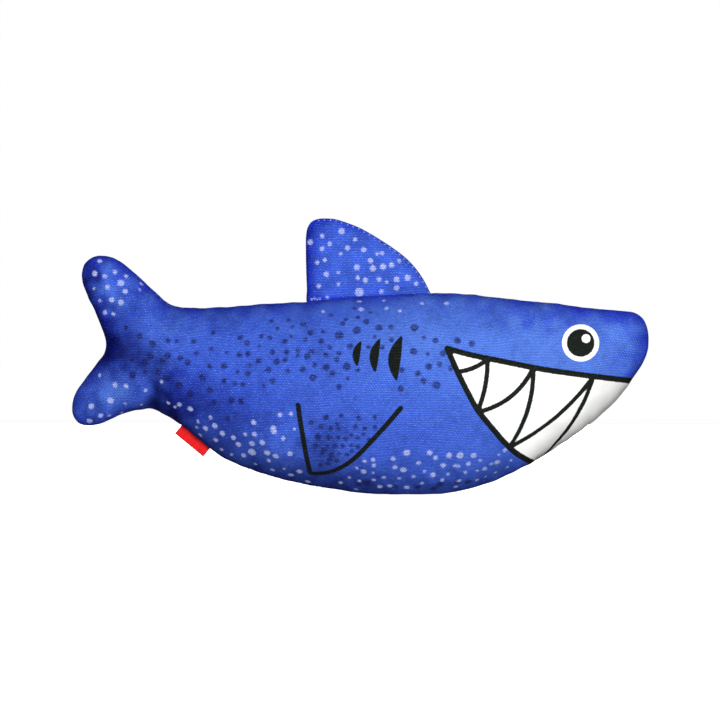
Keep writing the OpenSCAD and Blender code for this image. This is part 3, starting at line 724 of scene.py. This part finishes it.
# paler print with painted highlights on the tail lobes and the flank
PALER_PRINT_AND_LIGHT = [
    (-146, 122, 8, 13, 0.7), (-146, 61, 9, 8, 1.0), (-150, 47, 9, 4, 0.3), (-112, 99, 15, 9, 0.35),
    (-44, 96, 9, 13, 0.14), (26, 92, 32, 16, 0.2), (66, 30, 30, 20, 0.18), (-46, 26, 10, 8, 0.15),
]


def wash(p, patches):
    """How much of the patches, print with painted shade and light, reaches each point, their edges broken up
    like watercolour.
    """
    amount = np.zeros(len(p))
    bent = p + 2.2 * np.stack([Waves(13, SEED + 71)(p), Waves(13, SEED + 72)(p)], axis=1)
    for x, z, wide, high, strength in patches:
        spread = ((bent[:, 0] - x) / wide) ** 2 + ((bent[:, 1] - z) / high) ** 2
        amount = 1 - (1 - amount) * (1 - strength * np.exp(-spread))
    return amount


def washed(tone, amount, to=DEEPER):
    return tone * (1 - amount[:, None] * (1 - to))


def body_colour(p, seam, seed):
    """The print's blue at points of the flank, with painted light and shade: lighter on the head, partly a
    painted highlight; deeper at tail, belly, back and seams, partly painted shade.
    """
    x, z = p[:, 0], p[:, 1]
    # lighter towards the head's upper flank: partly the print's paler blue, partly a painted highlight where
    # the light falls brightest
    head = smoothstep(x, -60, 120) * smoothstep(z, 30, 85)
    head = 0.9 * head[:, None]
    tone = BLUE_MID * (1 - head) + BLUE_LIGHT * head
    tone = washed(tone, wash(p, PALER_PRINT_AND_LIGHT), PALER)
    # painted shade along the seams, where the surface turns from the light, reaching further along the back
    # and at the nose; partly the print's richer blue at its edges
    uneven = 1 + 0.25 * Waves(16, seed + 2)(p)
    back = smoothstep(z, 60, 90)
    reach = (8 + 6 * back + 3 * smoothstep(x, 130, 165)) * uneven
    edge = (0.6 + 0.15 * back + 0.1 * smoothstep(x, 40, 90)) * bump_at(seam, 0, reach)
    # painted shade on the underside: darker towards the bottom of the belly, and a narrow band along the
    # lower seam
    belly_line = 0.0022 * (x - 15) ** 2 * (x < 15)
    belly = 0.55 * (1 - smoothstep(z - belly_line, 2, 22)) * (1 - 0.5 * smoothstep(x, 0, 50))
    belly *= smoothstep(x, -135, -112)
    belly = np.maximum(belly, 0.55 * (1 - back) * bump_at(seam, 0, 5))
    tail = 0.1 * smoothstep(-x, 70, 130)
    amount = 1 - (1 - wash(p, DEEPER_PRINT_AND_SHADE)) * (1 - belly) * (1 - tail)
    cloud = 0.08 * np.tanh(1.3 * Waves(26, seed)(p)) + 0.06 * np.tanh(1.5 * Waves(8, seed + 1)(p))
    # the rich blue: painted edge shade together with the richer patches of print and painted shade
    edge = 1 - (1 - np.clip(edge, 0, 1)) * (1 - wash(p, RICHER_PRINT_AND_SHADE))
    tone = washed(tone, edge, EDGE_BLUE)
    return washed(tone, np.clip(amount + cloud + 0.02, 0, 1))


# ---- Meshes ----


def mesh_object(name, points, faces):
    mesh = bpy.data.meshes.new(name)
    mesh.from_pydata((np.asarray(points) * MM).tolist(), [], [list(map(int, f)) for f in faces])
    mesh.update()
    mesh.polygons.foreach_set("use_smooth", [True] * len(mesh.polygons))
    obj = bpy.data.objects.new(name, mesh)
    bpy.context.scene.collection.objects.link(obj)
    return obj


ATTRIBUTE_KINDS = {1: ("FLOAT", "value"), 3: ("FLOAT_VECTOR", "vector"), 4: ("FLOAT_COLOR", "color")}


def set_attribute(obj, name, values, rest=0.0):
    """One, three or four values for each point of a mesh, with rest for those that values doesn't reach."""
    values = np.asarray(values, np.float32)
    kind, key = ATTRIBUTE_KINDS[values[0].size]
    attribute = obj.data.attributes.new(name, kind, "POINT")
    missing = len(obj.data.vertices) - len(values)
    values = np.concatenate([values, np.full((missing, *values.shape[1:]), rest, np.float32)])
    attribute.data.foreach_set(key, values.ravel())


def dress(obj, material, replaced, rides):
    """Material, the nodes that a piece stands for, which are hidden, and the body that it rides on; for
    anything but a body's name its place is baked into its points.
    """
    obj.data.materials.append(material)
    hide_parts(*replaced)
    if isinstance(rides, str):
        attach(obj, rides)
    else:
        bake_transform(obj)


def tube(line, radius, sides=6, closed=False):
    """Points and faces of a round thread along a line of points in space."""
    line = np.asarray(line, float)
    count = len(line)
    ahead = np.roll(line, -1, axis=0) - np.roll(line, 1, axis=0)
    if not closed:
        ahead[0], ahead[-1] = line[1] - line[0], line[-1] - line[-2]
    ahead /= np.linalg.norm(ahead, axis=1)[:, None]
    side = np.cross(ahead, [0.31, 0.9, 0.17])
    side /= np.linalg.norm(side, axis=1)[:, None]
    up = np.cross(side, ahead)
    turn = 2 * math.pi * np.arange(sides) / sides
    rings = line[:, None] + radius * (
        np.cos(turn)[None, :, None] * side[:, None] + np.sin(turn)[None, :, None] * up[:, None]
    )
    faces = []
    for k in range(count if closed else count - 1):
        a, b = k * sides, (k + 1) % count * sides
        for i in range(sides):
            j = (i + 1) % sides
            faces.append([a + i, a + j, b + j, b + i])
    if not closed:
        faces.append(list(range(sides))[::-1])
        faces.append([(count - 1) * sides + i for i in range(sides)])
    return rings.reshape(-1, 3), faces


def merged(parts):
    """One list of points and faces from several."""
    points, faces, n = [], [], 0
    for p, f in parts:
        points.append(p)
        faces += [[n + i for i in face] for face in f]
        n += len(p)
    return np.vstack(points), faces


# ---- Materials ----


class Nodes:
    """Short words for building a material's nodes."""

    def __init__(self, name):
        self.material = bpy.data.materials.new(name)
        self.material.use_nodes = True
        self.tree = self.material.node_tree
        self.shader = self.tree.nodes["Principled BSDF"]

    def node(self, kind, inputs=None, **settings):
        node = self.tree.nodes.new(kind)
        for key, value in settings.items():
            setattr(node, key, value)
        for key, value in (inputs or {}).items():
            self.put(node.inputs[key], value)
        return node

    def put(self, socket, value):
        if isinstance(value, bpy.types.NodeSocket):
            self.tree.links.new(value, socket)
        elif isinstance(value, (int, float)) or hasattr(value, "__len__"):
            if socket.type == "RGBA" and len(value) == 3:
                value = (*value, 1)
            socket.default_value = value

    def math(self, operation, a, b=0.0, c=0.0):
        return self.node("ShaderNodeMath", {0: a, 1: b, 2: c}, operation=operation).outputs[0]

    def times(self, a, b):
        return self.math("MULTIPLY", a, b)

    def plus(self, a, b):
        return self.math("ADD", a, b)

    def minus(self, a, b):
        return self.math("SUBTRACT", a, b)

    def scaled(self, value, factor, offset):
        return self.math("MULTIPLY_ADD", value, factor, offset)

    def attribute(self, name, output="Fac"):
        return self.node("ShaderNodeAttribute", attribute_name=name).outputs[output]

    def range(self, value, low, high, out_low=0.0, out_high=1.0, smooth=True):
        kind = "SMOOTHSTEP" if smooth else "LINEAR"
        inputs = {0: value, 1: low, 2: high, 3: out_low, 4: out_high}
        return self.node("ShaderNodeMapRange", inputs, interpolation_type=kind).outputs[0]

    def mix(self, a, b, share, blend="MIX"):
        inputs = {6: a, 7: b, 0: share}
        node = self.node("ShaderNodeMix", inputs, data_type="RGBA", blend_type=blend, clamp_factor=True)
        return node.outputs[2]

    def dimmed(self, colour, share):
        grey = self.node("ShaderNodeCombineXYZ", {0: share, 1: share, 2: share}).outputs[0]
        return self.mix(colour, grey, 1.0, "MULTIPLY")

    def noise(self, vector, scale, detail=2.0, rough=0.5):
        inputs = {"Vector": vector, "Scale": scale, "Detail": detail, "Roughness": rough}
        return self.node("ShaderNodeTexNoise", inputs).outputs["Fac"]

    def bump(self, height, distance, strength=1.0, normal=None):
        inputs = {"Height": height, "Distance": distance, "Strength": strength}
        if normal is not None:
            inputs["Normal"] = normal
        return self.node("ShaderNodeBump", inputs).outputs["Normal"]

    def finish(self, **inputs):
        for key, value in inputs.items():
            self.put(self.shader.inputs[key.replace("_", " ")], value)
        return self.material


def weave_height(n, cloth, pitch):
    """Height of a coarse twill: ribs across, each broken into floats that step along from rib to rib."""
    parts = n.node("ShaderNodeSeparateXYZ", {0: cloth}).outputs
    wander = n.noise(cloth, 0.025, 1.0)
    rows = n.math("DIVIDE", n.plus(parts[1], n.times(wander, 4.0)), pitch)
    row = n.math("FLOOR", rows)
    rib = n.times(n.math("PINGPONG", rows, 0.5), 2.0)
    columns = n.plus(n.math("DIVIDE", parts[0], pitch * 1.7), n.times(row, 0.4))
    pick = n.times(n.math("PINGPONG", columns, 0.5), 2.0)
    rib = n.math("POWER", rib, 0.6)
    pick = n.math("POWER", pick, 0.8)
    return n.plus(n.times(rib, 0.35), n.times(n.times(rib, pick), 0.65))


WEAVE_PITCH = 0.98
HIDDEN_TONE = 0.6       # the print's colour on the inside of a panel
FLECK_COLOUR = (0.27, 0.4, 0.95)
INK_FLECK_COLOUR = (0.075, 0.09, 0.08)
DRY_PRINT = 0.25        # a layer softer than this takes the cloth unevenly, and its edge frays more
# Layers of the print: name, colour, share of the cloth covered, softness of the edge in millimetres
PRINT_LAYERS = [
    ("dark", (0.01, 0.014, 0.105), 0.93, 0.72),
    ("pale", (0.54, 0.6, 0.98), 0.9, 0.62),
    ("white", (0.93, 0.93, 0.91), 1.0, 0.18),
    ("ink", (0.008, 0.011, 0.009), 1.0, 0.22),
]


def printed_canvas(name, layers):
    """Coarse canvas with its print: soft colours, then each layer from its own distance field."""
    n = Nodes(name)
    cloth = n.attribute("cloth", "Vector")
    weave = weave_height(n, cloth, WEAVE_PITCH)
    grain = n.noise(cloth, 1.4, 3.0, 0.65)
    fray = n.times(n.minus(n.noise(cloth, 2.0, 2.0), 0.5), 0.9)
    fray = n.minus(fray, n.times(n.minus(weave, 0.5), 0.35))
    blotch = n.range(n.noise(cloth, 0.9, 3.0, 0.6), 0.3, 0.7, 0.62, 1.0)
    colour = n.attribute("print", "Color")
    # the white and the ink lie smoother on the weave than the blue: blue is 1 where neither is
    has_white = len(layers) > 1
    blue, calm, relief = 1.0, 1.0, 0.8
    if has_white:
        blue = n.range(n.attribute("white"), -0.2, 0.4)
        calm = n.scaled(blue, 0.85, 0.15)
        relief = n.scaled(blue, 0.55, 0.25)
    for layer, tint, share, soft in layers:
        dry = soft > DRY_PRINT
        distance = n.plus(n.attribute(layer), n.times(fray, 1.0 if dry else 0.6))
        cover = n.range(distance, -soft, soft, share, 0.0)
        colour = n.mix(colour, tint, n.times(cover, blotch) if dry else cover)
    shade = n.range(weave, 0.15, 0.85, 0.55, 1.26, smooth=False)
    shade = n.times(shade, n.range(grain, 0.25, 0.75, 0.78, 1.2, smooth=False))
    colour = n.dimmed(colour, n.scaled(n.minus(shade, 1.0), calm, 1.0))
    turned = {"Vector": cloth, "Rotation": (0, 0, math.radians(38)), "Scale": (0.55, 1.5, 1)}
    slanted = n.noise(n.node("ShaderNodeMapping", turned).outputs[0], 0.95, 2.0, 0.7)
    dip = n.range(slanted, 0.28, 0.5, 0.72, 1.0)
    colour = n.dimmed(colour, n.scaled(n.minus(dip, 1.0), blue, 1.0))
    fleck = n.times(n.range(slanted, 0.5, 0.72, 0.0, 0.5), n.range(weave, 0.3, 0.85))
    lightness = n.node("ShaderNodeRGBToBW", {0: n.attribute("print", "Color")}).outputs[0]
    fleck = n.times(fleck, n.range(lightness, 0.015, 0.13, 0.3, 1.0))
    if has_white:
        on_ink = n.range(n.attribute("ink"), 0.0, 0.5, 1.0, 0.0)
        colour = n.mix(colour, INK_FLECK_COLOUR, n.times(fleck, on_ink))
        fleck = n.times(n.times(fleck, n.minus(1.0, on_ink)), blue)
    colour = n.mix(colour, FLECK_COLOUR, fleck)
    if has_white:
        # painted shade on the white, from the shade attribute
        colour = n.mix(colour, n.attribute("shade", "Color"), 1.0, "MULTIPLY")
    fuzz = n.noise(cloth, 3.5, 2.0, 0.6)
    normal = n.bump(fuzz, 0.0002, 0.3, n.bump(weave, 0.00045, relief))
    rough = n.range(weave, 0.0, 1.0, 0.95, 0.8, smooth=False)
    return n.finish(Base_Color=colour, Normal=normal, Roughness=rough, Specular_IOR_Level=0.06)


def plain_cloth(name, colour, pitch):
    """Plain woven cloth or tape of one colour."""
    n = Nodes(name)
    cloth = n.attribute("cloth", "Vector")
    weave = weave_height(n, cloth, pitch)
    tone = n.range(n.noise(cloth, 0.4, 3.0), 0.3, 0.7, 0.0, 1.0)
    base = n.mix([0.8 * c for c in colour], colour, tone)
    base = n.mix(base, [min(1.4 * c + 0.01, 1) for c in colour], n.range(weave, 0.55, 1.0, 0.0, 0.5))
    normal = n.bump(weave, 0.0002, 0.6)
    return n.finish(Base_Color=base, Normal=normal, Roughness=0.85, Specular_IOR_Level=0.25)


def fibre(name, colour):
    """Loose crimped fibre."""
    n = Nodes(name)
    cloth = n.attribute("cloth", "Vector")
    crimp = {"Vector": cloth, "Scale": 0.5, "Distortion": 22.0, "Detail": 3.0}
    strands = n.node("ShaderNodeTexWave", crimp).outputs["Fac"]
    tone = n.range(strands, 0.2, 0.8, 0.0, 1.0)
    base = n.mix([0.82 * c for c in colour], colour, tone)
    normal = n.bump(strands, 0.0006, 0.8)
    return n.finish(Base_Color=base, Normal=normal, Roughness=1.0, Specular_IOR_Level=0.1)


def plastic(name, colour, rough, speckle):
    """Moulded plastic with a faint flow pattern in its gloss."""
    n = Nodes(name)
    place = n.node("ShaderNodeTexCoord").outputs["Object"]
    flow = n.noise(place, speckle, 4.0, 0.6)
    base = n.mix([0.9 * c for c in colour], colour, n.range(flow, 0.35, 0.65))
    gloss = n.range(flow, 0.3, 0.7, rough - 0.08, rough + 0.1)
    normal = n.bump(flow, 0.00005, 0.4)
    return n.finish(Base_Color=base, Normal=normal, Roughness=gloss, Specular_IOR_Level=0.45)


def thread_material(name, colour):
    """Twisted thread."""
    n = Nodes(name)
    place = n.node("ShaderNodeTexCoord").outputs["Object"]
    strands = {"Vector": place, "Scale": 900.0, "Distortion": 2.0}
    twist = n.node("ShaderNodeTexWave", strands, bands_direction="DIAGONAL").outputs["Fac"]
    base = n.mix([0.6 * c for c in colour], colour, twist)
    return n.finish(Base_Color=base, Normal=n.bump(twist, 0.0001, 0.6), Roughness=0.6)


# ---- Pieces of the body ----

SIDES = ((-1, "right"), (1, "left"))
TAIL_BEND = ("body", "tail", (-0.108, 0, 0.082), (-0.1288, 0, 0.082))
# Thickness of the canvas, and depths of the lining's two faces and of the filling under the skin
CANVAS = 0.9
LINING_OUT = 1.2
LINING_IN = 1.6
FILL_DEPTH = 1.9
FAR = 9.0               # printed nowhere: the distance given to a panel's hidden points

bag = Bag(edge_of(OUTLINE, 2.0, SEAM_ROOM), CELL, HALF_THICKNESS)
cloth_map = Cloth(bag)
skin = Flank(edge_of(OUTLINE, 1.05, SEAM_ROOM), pitch=0.95, rings=15, rim=RIM)
backing = Flank(skin.outline, pitch=3.2, rings=3, rim=3)
coarse = Flank(edge_of(OUTLINE, 2.6, SEAM_ROOM), pitch=3.2, rings=4, rim=4)
canvas_print = printed_canvas("printed_canvas", PRINT_LAYERS)
lining_cloth = plain_cloth("lining_cloth", (0.62, 0.64, 0.68), 0.5)
fill_fibre = fibre("polyester_fibre", (0.88, 0.88, 0.86))
blue_thread = thread_material("blue_thread", (0.03, 0.05, 0.26))

fill_shapes = []
for side, label in SIDES:
    seed = SEED + 10 * (side + 1)
    shape, seam = shaped(skin, bag, side, seed)
    inner, _ = shaped(backing, bag, side, seed, CANVAS)
    panel = mesh_object(f"{label}_panel", *shell(skin, shape, backing, inner, side))
    set_attribute(panel, "cloth", np.column_stack([cloth_coordinates(skin, cloth_map, shape), seam]))
    look = looked_at(shape)
    layers = print_fields(look, shape, SEED + 5)
    for key, values in layers.items():
        set_attribute(panel, key, values, FAR)
    # painted shade: the mouth's white greys towards the seam, where the surface turns from the light
    on_white = 1 - smoothstep(layers["white"], -0.5, 0.5)
    set_attribute(panel, "shade", 1 - 0.46 * on_white * bump_at(seam, 0, 16), 1)
    colour = body_colour(look, seam, SEED + 6)
    set_attribute(panel, "print", np.column_stack([colour, np.ones(len(colour))]), HIDDEN_TONE)
    nodes = [f"{label}_body_panel", f"{label}_tail_panel"]
    dress(panel, canvas_print, nodes, TAIL_BEND)

    outer, inner, core = (shaped(coarse, bag, side, seed, d)[0] for d in (LINING_OUT, LINING_IN, FILL_DEPTH))
    points, faces = shell(coarse, outer, coarse, inner, side)
    lining = mesh_object(f"{label}_lining", points, faces)
    set_attribute(lining, "cloth", points[:, [0, 2, 1]])
    nodes = [f"{label}_body_lining", f"{label}_tail_lining"]
    dress(lining, lining_cloth, nodes, TAIL_BEND)
    fill_shapes.append(core)

# the filling, with the hollow that the squeaker sits in
HOLLOW_ROOM = 0.6
HOLLOW_SIDES = 32
squeaker_low, squeaker_high = (np.array(v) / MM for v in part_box("squeaker_back_shell"))
middle = (squeaker_low + squeaker_high) / 2
reach = (squeaker_high[0] - squeaker_low[0]) / 2 + HOLLOW_ROOM
front = -squeaker_high[1] - HOLLOW_ROOM
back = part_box("squeaker_whistle")[1].y / MM + HOLLOW_ROOM
hollow = np.array([
    [middle[0] + r * math.cos(a), y, middle[2] + r * math.sin(a)]
    for r, y in ((0, front), (reach, front), (reach, back), (0, back))
    for a in 2 * math.pi * np.arange(HOLLOW_SIDES) / HOLLOW_SIDES
])
hollow_faces = []
for k in range(3):
    for i in range(HOLLOW_SIDES):
        a, b = HOLLOW_SIDES * k + i, HOLLOW_SIDES * k + (i + 1) % HOLLOW_SIDES
        hollow_faces.append([a, b, b + HOLLOW_SIDES, a + HOLLOW_SIDES])
right, left = fill_shapes
points, faces = merged([shell(coarse, right, coarse, left, -1), (hollow, hollow_faces)])
filling = mesh_object("filling", points, faces)
set_attribute(filling, "cloth", points)
dress(filling, fill_fibre, ["body_fill", "tail_fill"], TAIL_BEND)

# the machine seam just inside the edge, and the hand stitches that close the belly
THREAD = 0.3
SEAM_INSET = 2.4
seam_line = coarse.outline - coarse.edge_normal * SEAM_INSET
loops = [tube(upright(seam_line, y), THREAD, closed=True) for y in (-THREAD, THREAD)]
seam_thread = mesh_object("seam_thread", *merged(loops))
dress(seam_thread, blue_thread, ["body_seam_thread", "tail_seam_thread"], TAIL_BEND)

CLOSING_FROM, CLOSING_STEP, CLOSING_COUNT = -66, 4, 12
BELLY_TOP = 40
# One stitch: half an oval over the seam, sunk into the cloth at both ends, and slanting
STITCH_THREAD, STITCH_REACH, STITCH_HEIGHT, STITCH_SUNK, STITCH_SLANT = 0.24, 1.35, 0.84, 0.95, 0.35
stitches = []
for k in range(CLOSING_COUNT):
    miss = np.abs(skin.outline[:, 0] - (CLOSING_FROM + k * CLOSING_STEP))
    near = np.argmin(miss + (skin.outline[:, 1] > BELLY_TOP) * 999)
    place, out = skin.outline[near], skin.edge_normal[near]
    slant = np.array([-out[1], out[0]])
    hoop = []
    for a in np.radians(np.linspace(-84, 84, 11)):
        x, z = place + out * (STITCH_HEIGHT * math.cos(a) - STITCH_SUNK) + slant * STITCH_SLANT * math.sin(a)
        hoop.append([x, STITCH_REACH * math.sin(a), z])
    stitches.append(tube(hoop, STITCH_THREAD, sides=8))
closing = mesh_object("belly_stitches", *merged(stitches))
dress(closing, blue_thread, ["closing_stitches"], "body")


# ---- Dorsal fin: two covers, a flat pad and their seam ----

FIN_BEND = ("body", "dorsal_fin", (0.0052, 0, 0.1162), (0.0052, 0, 0.1225))
FIN_CLOTH = 0.45
FIN_REAR = -33
FIN_THREAD, FIN_THREAD_INSET, FIN_THREAD_FROM = 0.12, 1.4, 122
HOLE_RADIUS, HOLE_INSET, HOLE_EVERY, HOLES_FROM = 0.3, 0.9, 4, (-27, 119)
fin = Flank(edge_of(FIN_OUTLINE, 0.9), pitch=0.95, rings=8, rim=2.2)
fin_back = Flank(fin.outline, pitch=2.6, rings=2, rim=2.2)


def fin_half(p, away):
    """Half thickness of the fin: flat where it is sewn in, softly filled above."""
    edge = 1 - np.exp(-away / 3.2)
    low = smoothstep(p[:, 1], 115, 130)
    return 0.5 + (0.5 + 2.9 * low) * edge * smoothstep(away, -0.5, 7)


def fin_face(flank, side, inset):
    y = fin_half(flank.points, flank.away)
    y += Waves(15, SEED + 40 + side)(flank.points) * 0.2 * smoothstep(flank.away, 1, 6)
    gather = Waves(6, SEED + 43)(np.stack([flank.points.sum(1), flank.points[:, 0]], axis=1))
    y += gather * 0.12 * bump_at(flank.away, 2.5, 2)
    y = np.maximum(y - inset, 0.08 * inset)
    y[:flank.count] = 0.1 * inset
    return upright(flank.points, y * side)


fin_canvas = printed_canvas("fin_canvas", PRINT_LAYERS[1:2])
x, z = fin.points.T
# darker towards the fin's top, rear edge and edges, partly the print's deeper blue, partly painted shade; a
# band of painted shadow along the fin's base
fin_print_and_shade = 0.4 * smoothstep(z, 146, 164) + 0.6 * np.exp(-fin.away / 1.4)
fin_print_and_shade += 0.85 * bump_at(x, FIN_REAR, 8) + 0.06 * Waves(9, SEED + 44)(fin.points)
fin_print_and_shade += 0.7 * bump_at(z - x * 0.02, 116, 1.6)
fin_tone = washed(BLUE_MID * 1.08, 0.8 * np.clip(fin_print_and_shade, 0, 0.95), EDGE_BLUE)
# more painted shade at the rear edge and along the edges
fin_tone = washed(fin_tone, np.clip(0.7 * bump_at(x, FIN_REAR, 3) + 0.4 * np.exp(-fin.away / 0.9), 0, 0.8))
fin_tone *= (0.93 + 0.12 * np.tanh(Waves(16, SEED + 42)(fin.points)))[:, None]
fin_dots = dot_field(FIN_DOTS, fin.points, upright(fin.points), 0.12 * Waves(2.6, SEED + 41)(fin.points))
# needle holes along the front edge let the white backing through
for hole in (fin.outline - fin.edge_normal * HOLE_INSET)[::HOLE_EVERY]:
    if (hole > HOLES_FROM).all():
        fin_dots = np.minimum(fin_dots, np.hypot(*(fin.points - hole).T) - HOLE_RADIUS)
for side, label in SIDES:
    shape, inner = fin_face(fin, side, 0), fin_face(fin_back, side, FIN_CLOTH)
    cover = mesh_object(f"{label}_fin_cover", *shell(fin, shape, fin_back, inner, side))
    set_attribute(cover, "pale", fin_dots, FAR)
    set_attribute(cover, "print", np.column_stack([fin_tone, np.ones(len(fin_tone))]), HIDDEN_TONE)
    set_attribute(cover, "cloth", np.column_stack([fin.points + 7.3, fin.away]))
    dress(cover, fin_canvas, [f"{label}_fin_panel", "fin_root"], FIN_BEND)

PAD_OUTLINE = [
    (-26, 124), (-26.5, 138), (-26, 151), (-22, 156.5), (-12, 156), (1, 151), (13, 143.5), (23, 135.5),
    (29.5, 127.5), (28, 124),
]
pad = Flank(edge_of(PAD_OUTLINE, 2.2), pitch=2.6, rings=2, rim=1.5)
to_edge = distance_to(fin.outline, pad.points, closed=True)
y = np.maximum(fin_half(pad.points, to_edge) - FIN_CLOTH - 0.5, 0.1)
y[:pad.count] *= 0.3
points, faces = shell(pad, upright(pad.points, -y), pad, upright(pad.points, y), -1)
fin_padding = mesh_object("fin_padding", points, faces)
set_attribute(fin_padding, "cloth", points)
dress(fin_padding, fill_fibre, ["fin_batting"], "dorsal_fin")

fin_edge = fin.outline - fin.edge_normal * FIN_THREAD_INSET
fin_edge = fin_edge[fin_edge[:, 1] > FIN_THREAD_FROM]
fin_thread = mesh_object("fin_edge_thread", *tube(upright(fin_edge), FIN_THREAD))
dress(fin_thread, blue_thread, ["fin_seam_thread"], "dorsal_fin")


# ---- Label: a tape folded once, its ends sewn into the seam ----

LABEL_AT = (-97.5, 33.75)
LABEL_ANGLE = math.radians(39.2)
LABEL_WIDTH = 21.7
LABEL_OUT = 6.1
LABEL_IN = 4.5
LABEL_COLUMNS = 25
TAPE = 0.35
LOOP = 0.5
label_along = np.array([math.cos(LABEL_ANGLE), -math.sin(LABEL_ANGLE)])
label_out = np.array([-math.sin(LABEL_ANGLE), -math.cos(LABEL_ANGLE)])


def label_section(half):
    """The folded tape's middle line offset by half: up one side, round the fold, down the other."""
    r = LOOP + half
    turn_at = LABEL_OUT - LOOP - TAPE
    stem = [(-r, out) for out in np.linspace(-LABEL_IN, turn_at, 9)]
    fold = [(-r * math.cos(a), turn_at + r * math.sin(a)) for a in np.radians(np.linspace(0, 180, 9))][1:-1]
    return np.array(stem + fold + [(-y, out) for y, out in stem[::-1]])


outside, inside = label_section(TAPE / 2), label_section(-TAPE / 2)
pinched = np.column_stack([0.35 + 0.65 * smoothstep(outside[:, 1], -0.5, 3.5), np.ones(len(outside))])
section = np.vstack([outside * pinched, (inside * pinched)[::-1]])
runs = np.concatenate([[0], np.cumsum(np.linalg.norm(np.diff(section, axis=0), axis=1))])
points, coords = [], []
for share in np.arange(LABEL_COLUMNS) / (LABEL_COLUMNS - 1) - 0.5:
    bow = 0.5 * math.cos(math.pi * share * 1.2)
    for (y, out), run in zip(section, runs):
        flat = np.array(LABEL_AT) + label_along * share * LABEL_WIDTH + label_out * out
        points.append([flat[0], y + bow * smoothstep(np.array(out), 0, LABEL_OUT) - 0.25, flat[1]])
        coords.append([share * LABEL_WIDTH, run, 0])
m = len(section)
faces = [
    [k * m + i, k * m + (i + 1) % m, (k + 1) * m + (i + 1) % m, (k + 1) * m + i]
    for k in range(LABEL_COLUMNS - 1) for i in range(m)
]
for k, order in ((0, 1), (LABEL_COLUMNS - 1, -1)):
    for i in range(m // 2 - 1):
        faces.append([k * m + i, k * m + m - 1 - i, k * m + m - 2 - i, k * m + i + 1][::order])
hinge, edge = (np.array(LABEL_AT) + label_out * out for out in (0.2, 1.6))
label_bend = ("body", "seam_label", (hinge[0] * MM, 0, hinge[1] * MM), (edge[0] * MM, 0, edge[1] * MM))
folded = mesh_object("folded_label", points, faces)
set_attribute(folded, "cloth", coords)
label_red = plain_cloth("label_tape", (0.7, 0.007, 0.009), 0.32)
dress(folded, label_red, ["label", "label_ends"], label_bend)


# ---- Squeaker: its parts stay as they are, in moulded plastic ----

plastics = {
    "squeaker_plastic": plastic("squeaker_plastic", (0.78, 0.8, 0.8), 0.4, 160.0),
    "whistle_plastic": plastic("whistle_plastic", (0.82, 0.82, 0.8), 0.3, 240.0),
}
for node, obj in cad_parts.items():
    if node.startswith("squeaker"):
        slot = "squeaker_plastic" if node.endswith("shell") else "whistle_plastic"
        obj.data.materials.clear()
        obj.data.materials.append(plastics[slot])


# ---- Light, floor and camera ----


def stage(name, colour, glow, unseen_by):
    """Dresses the object just added as part of the stage, which some rays don't see."""
    obj = bpy.context.object
    obj.name = name
    glowing = {"Emission_Color": (1, 1, 1), "Emission_Strength": glow}
    n = Nodes(f"{name}_white")
    obj.data.materials.append(n.finish(Base_Color=colour, Roughness=0.9, Specular_IOR_Level=0.1, **glowing))
    for ray in unseen_by:
        setattr(obj, f"visible_{ray}", False)


bpy.ops.mesh.primitive_plane_add(size=5, location=(0, 0, 0))
stage("floor", (0.85, 0.85, 0.85), 0.84, ("diffuse", "glossy"))
bpy.ops.mesh.primitive_uv_sphere_add(radius=7, segments=64, ring_count=32, location=(0, 0, 0))
stage("backdrop", (0, 0, 0), 1.0, ("diffuse", "glossy", "transmission", "shadow", "volume_scatter"))

# Lights: name, place, size, power; all aim at the middle of the toy
LIGHTS = [
    ("key", (0.5, -2.1, 0.42), 0.6, 46),
    ("front", (-0.6, -2.1, 0.2), 0.6, 22),
    ("rear", (0.3, 2.1, 0.3), 0.9, 56),
]
for name, place, size, power in LIGHTS:
    light = bpy.data.lights.new(name, "AREA")
    light.shape = "DISK"
    light.size = size
    light.energy = power
    obj = bpy.data.objects.new(name, light)
    obj.location = place
    obj.rotation_euler = (Vector((0, 0, 0.08)) - obj.location).to_track_quat("-Z", "Y").to_euler()
    bpy.context.scene.collection.objects.link(obj)

world = bpy.data.worlds.new("studio")
world.use_nodes = True
background = world.node_tree.nodes["Background"].inputs
background["Color"].default_value = (1, 1, 1, 1)
background["Strength"].default_value = 0.14
bpy.context.scene.world = world
bpy.context.scene.view_settings.view_transform = "Standard"

VIEW_WIDTH = 425.7      # of what the camera sees at the toy's middle
VIEW_MIDDLE = -0.15
camera = bpy.data.cameras.new("camera")
camera.sensor_width = 36
camera.lens = camera.sensor_width * LOOK_DISTANCE / VIEW_WIDTH
camera.clip_end = 30
camera_object = bpy.data.objects.new("camera", camera)
camera_object.location = Vector((VIEW_MIDDLE, -LOOK_DISTANCE, LOOK_HEIGHT)) * MM
camera_object.rotation_euler = (math.pi / 2, 0, 0)
bpy.context.scene.collection.objects.link(camera_object)
bpy.context.scene.camera = camera_object
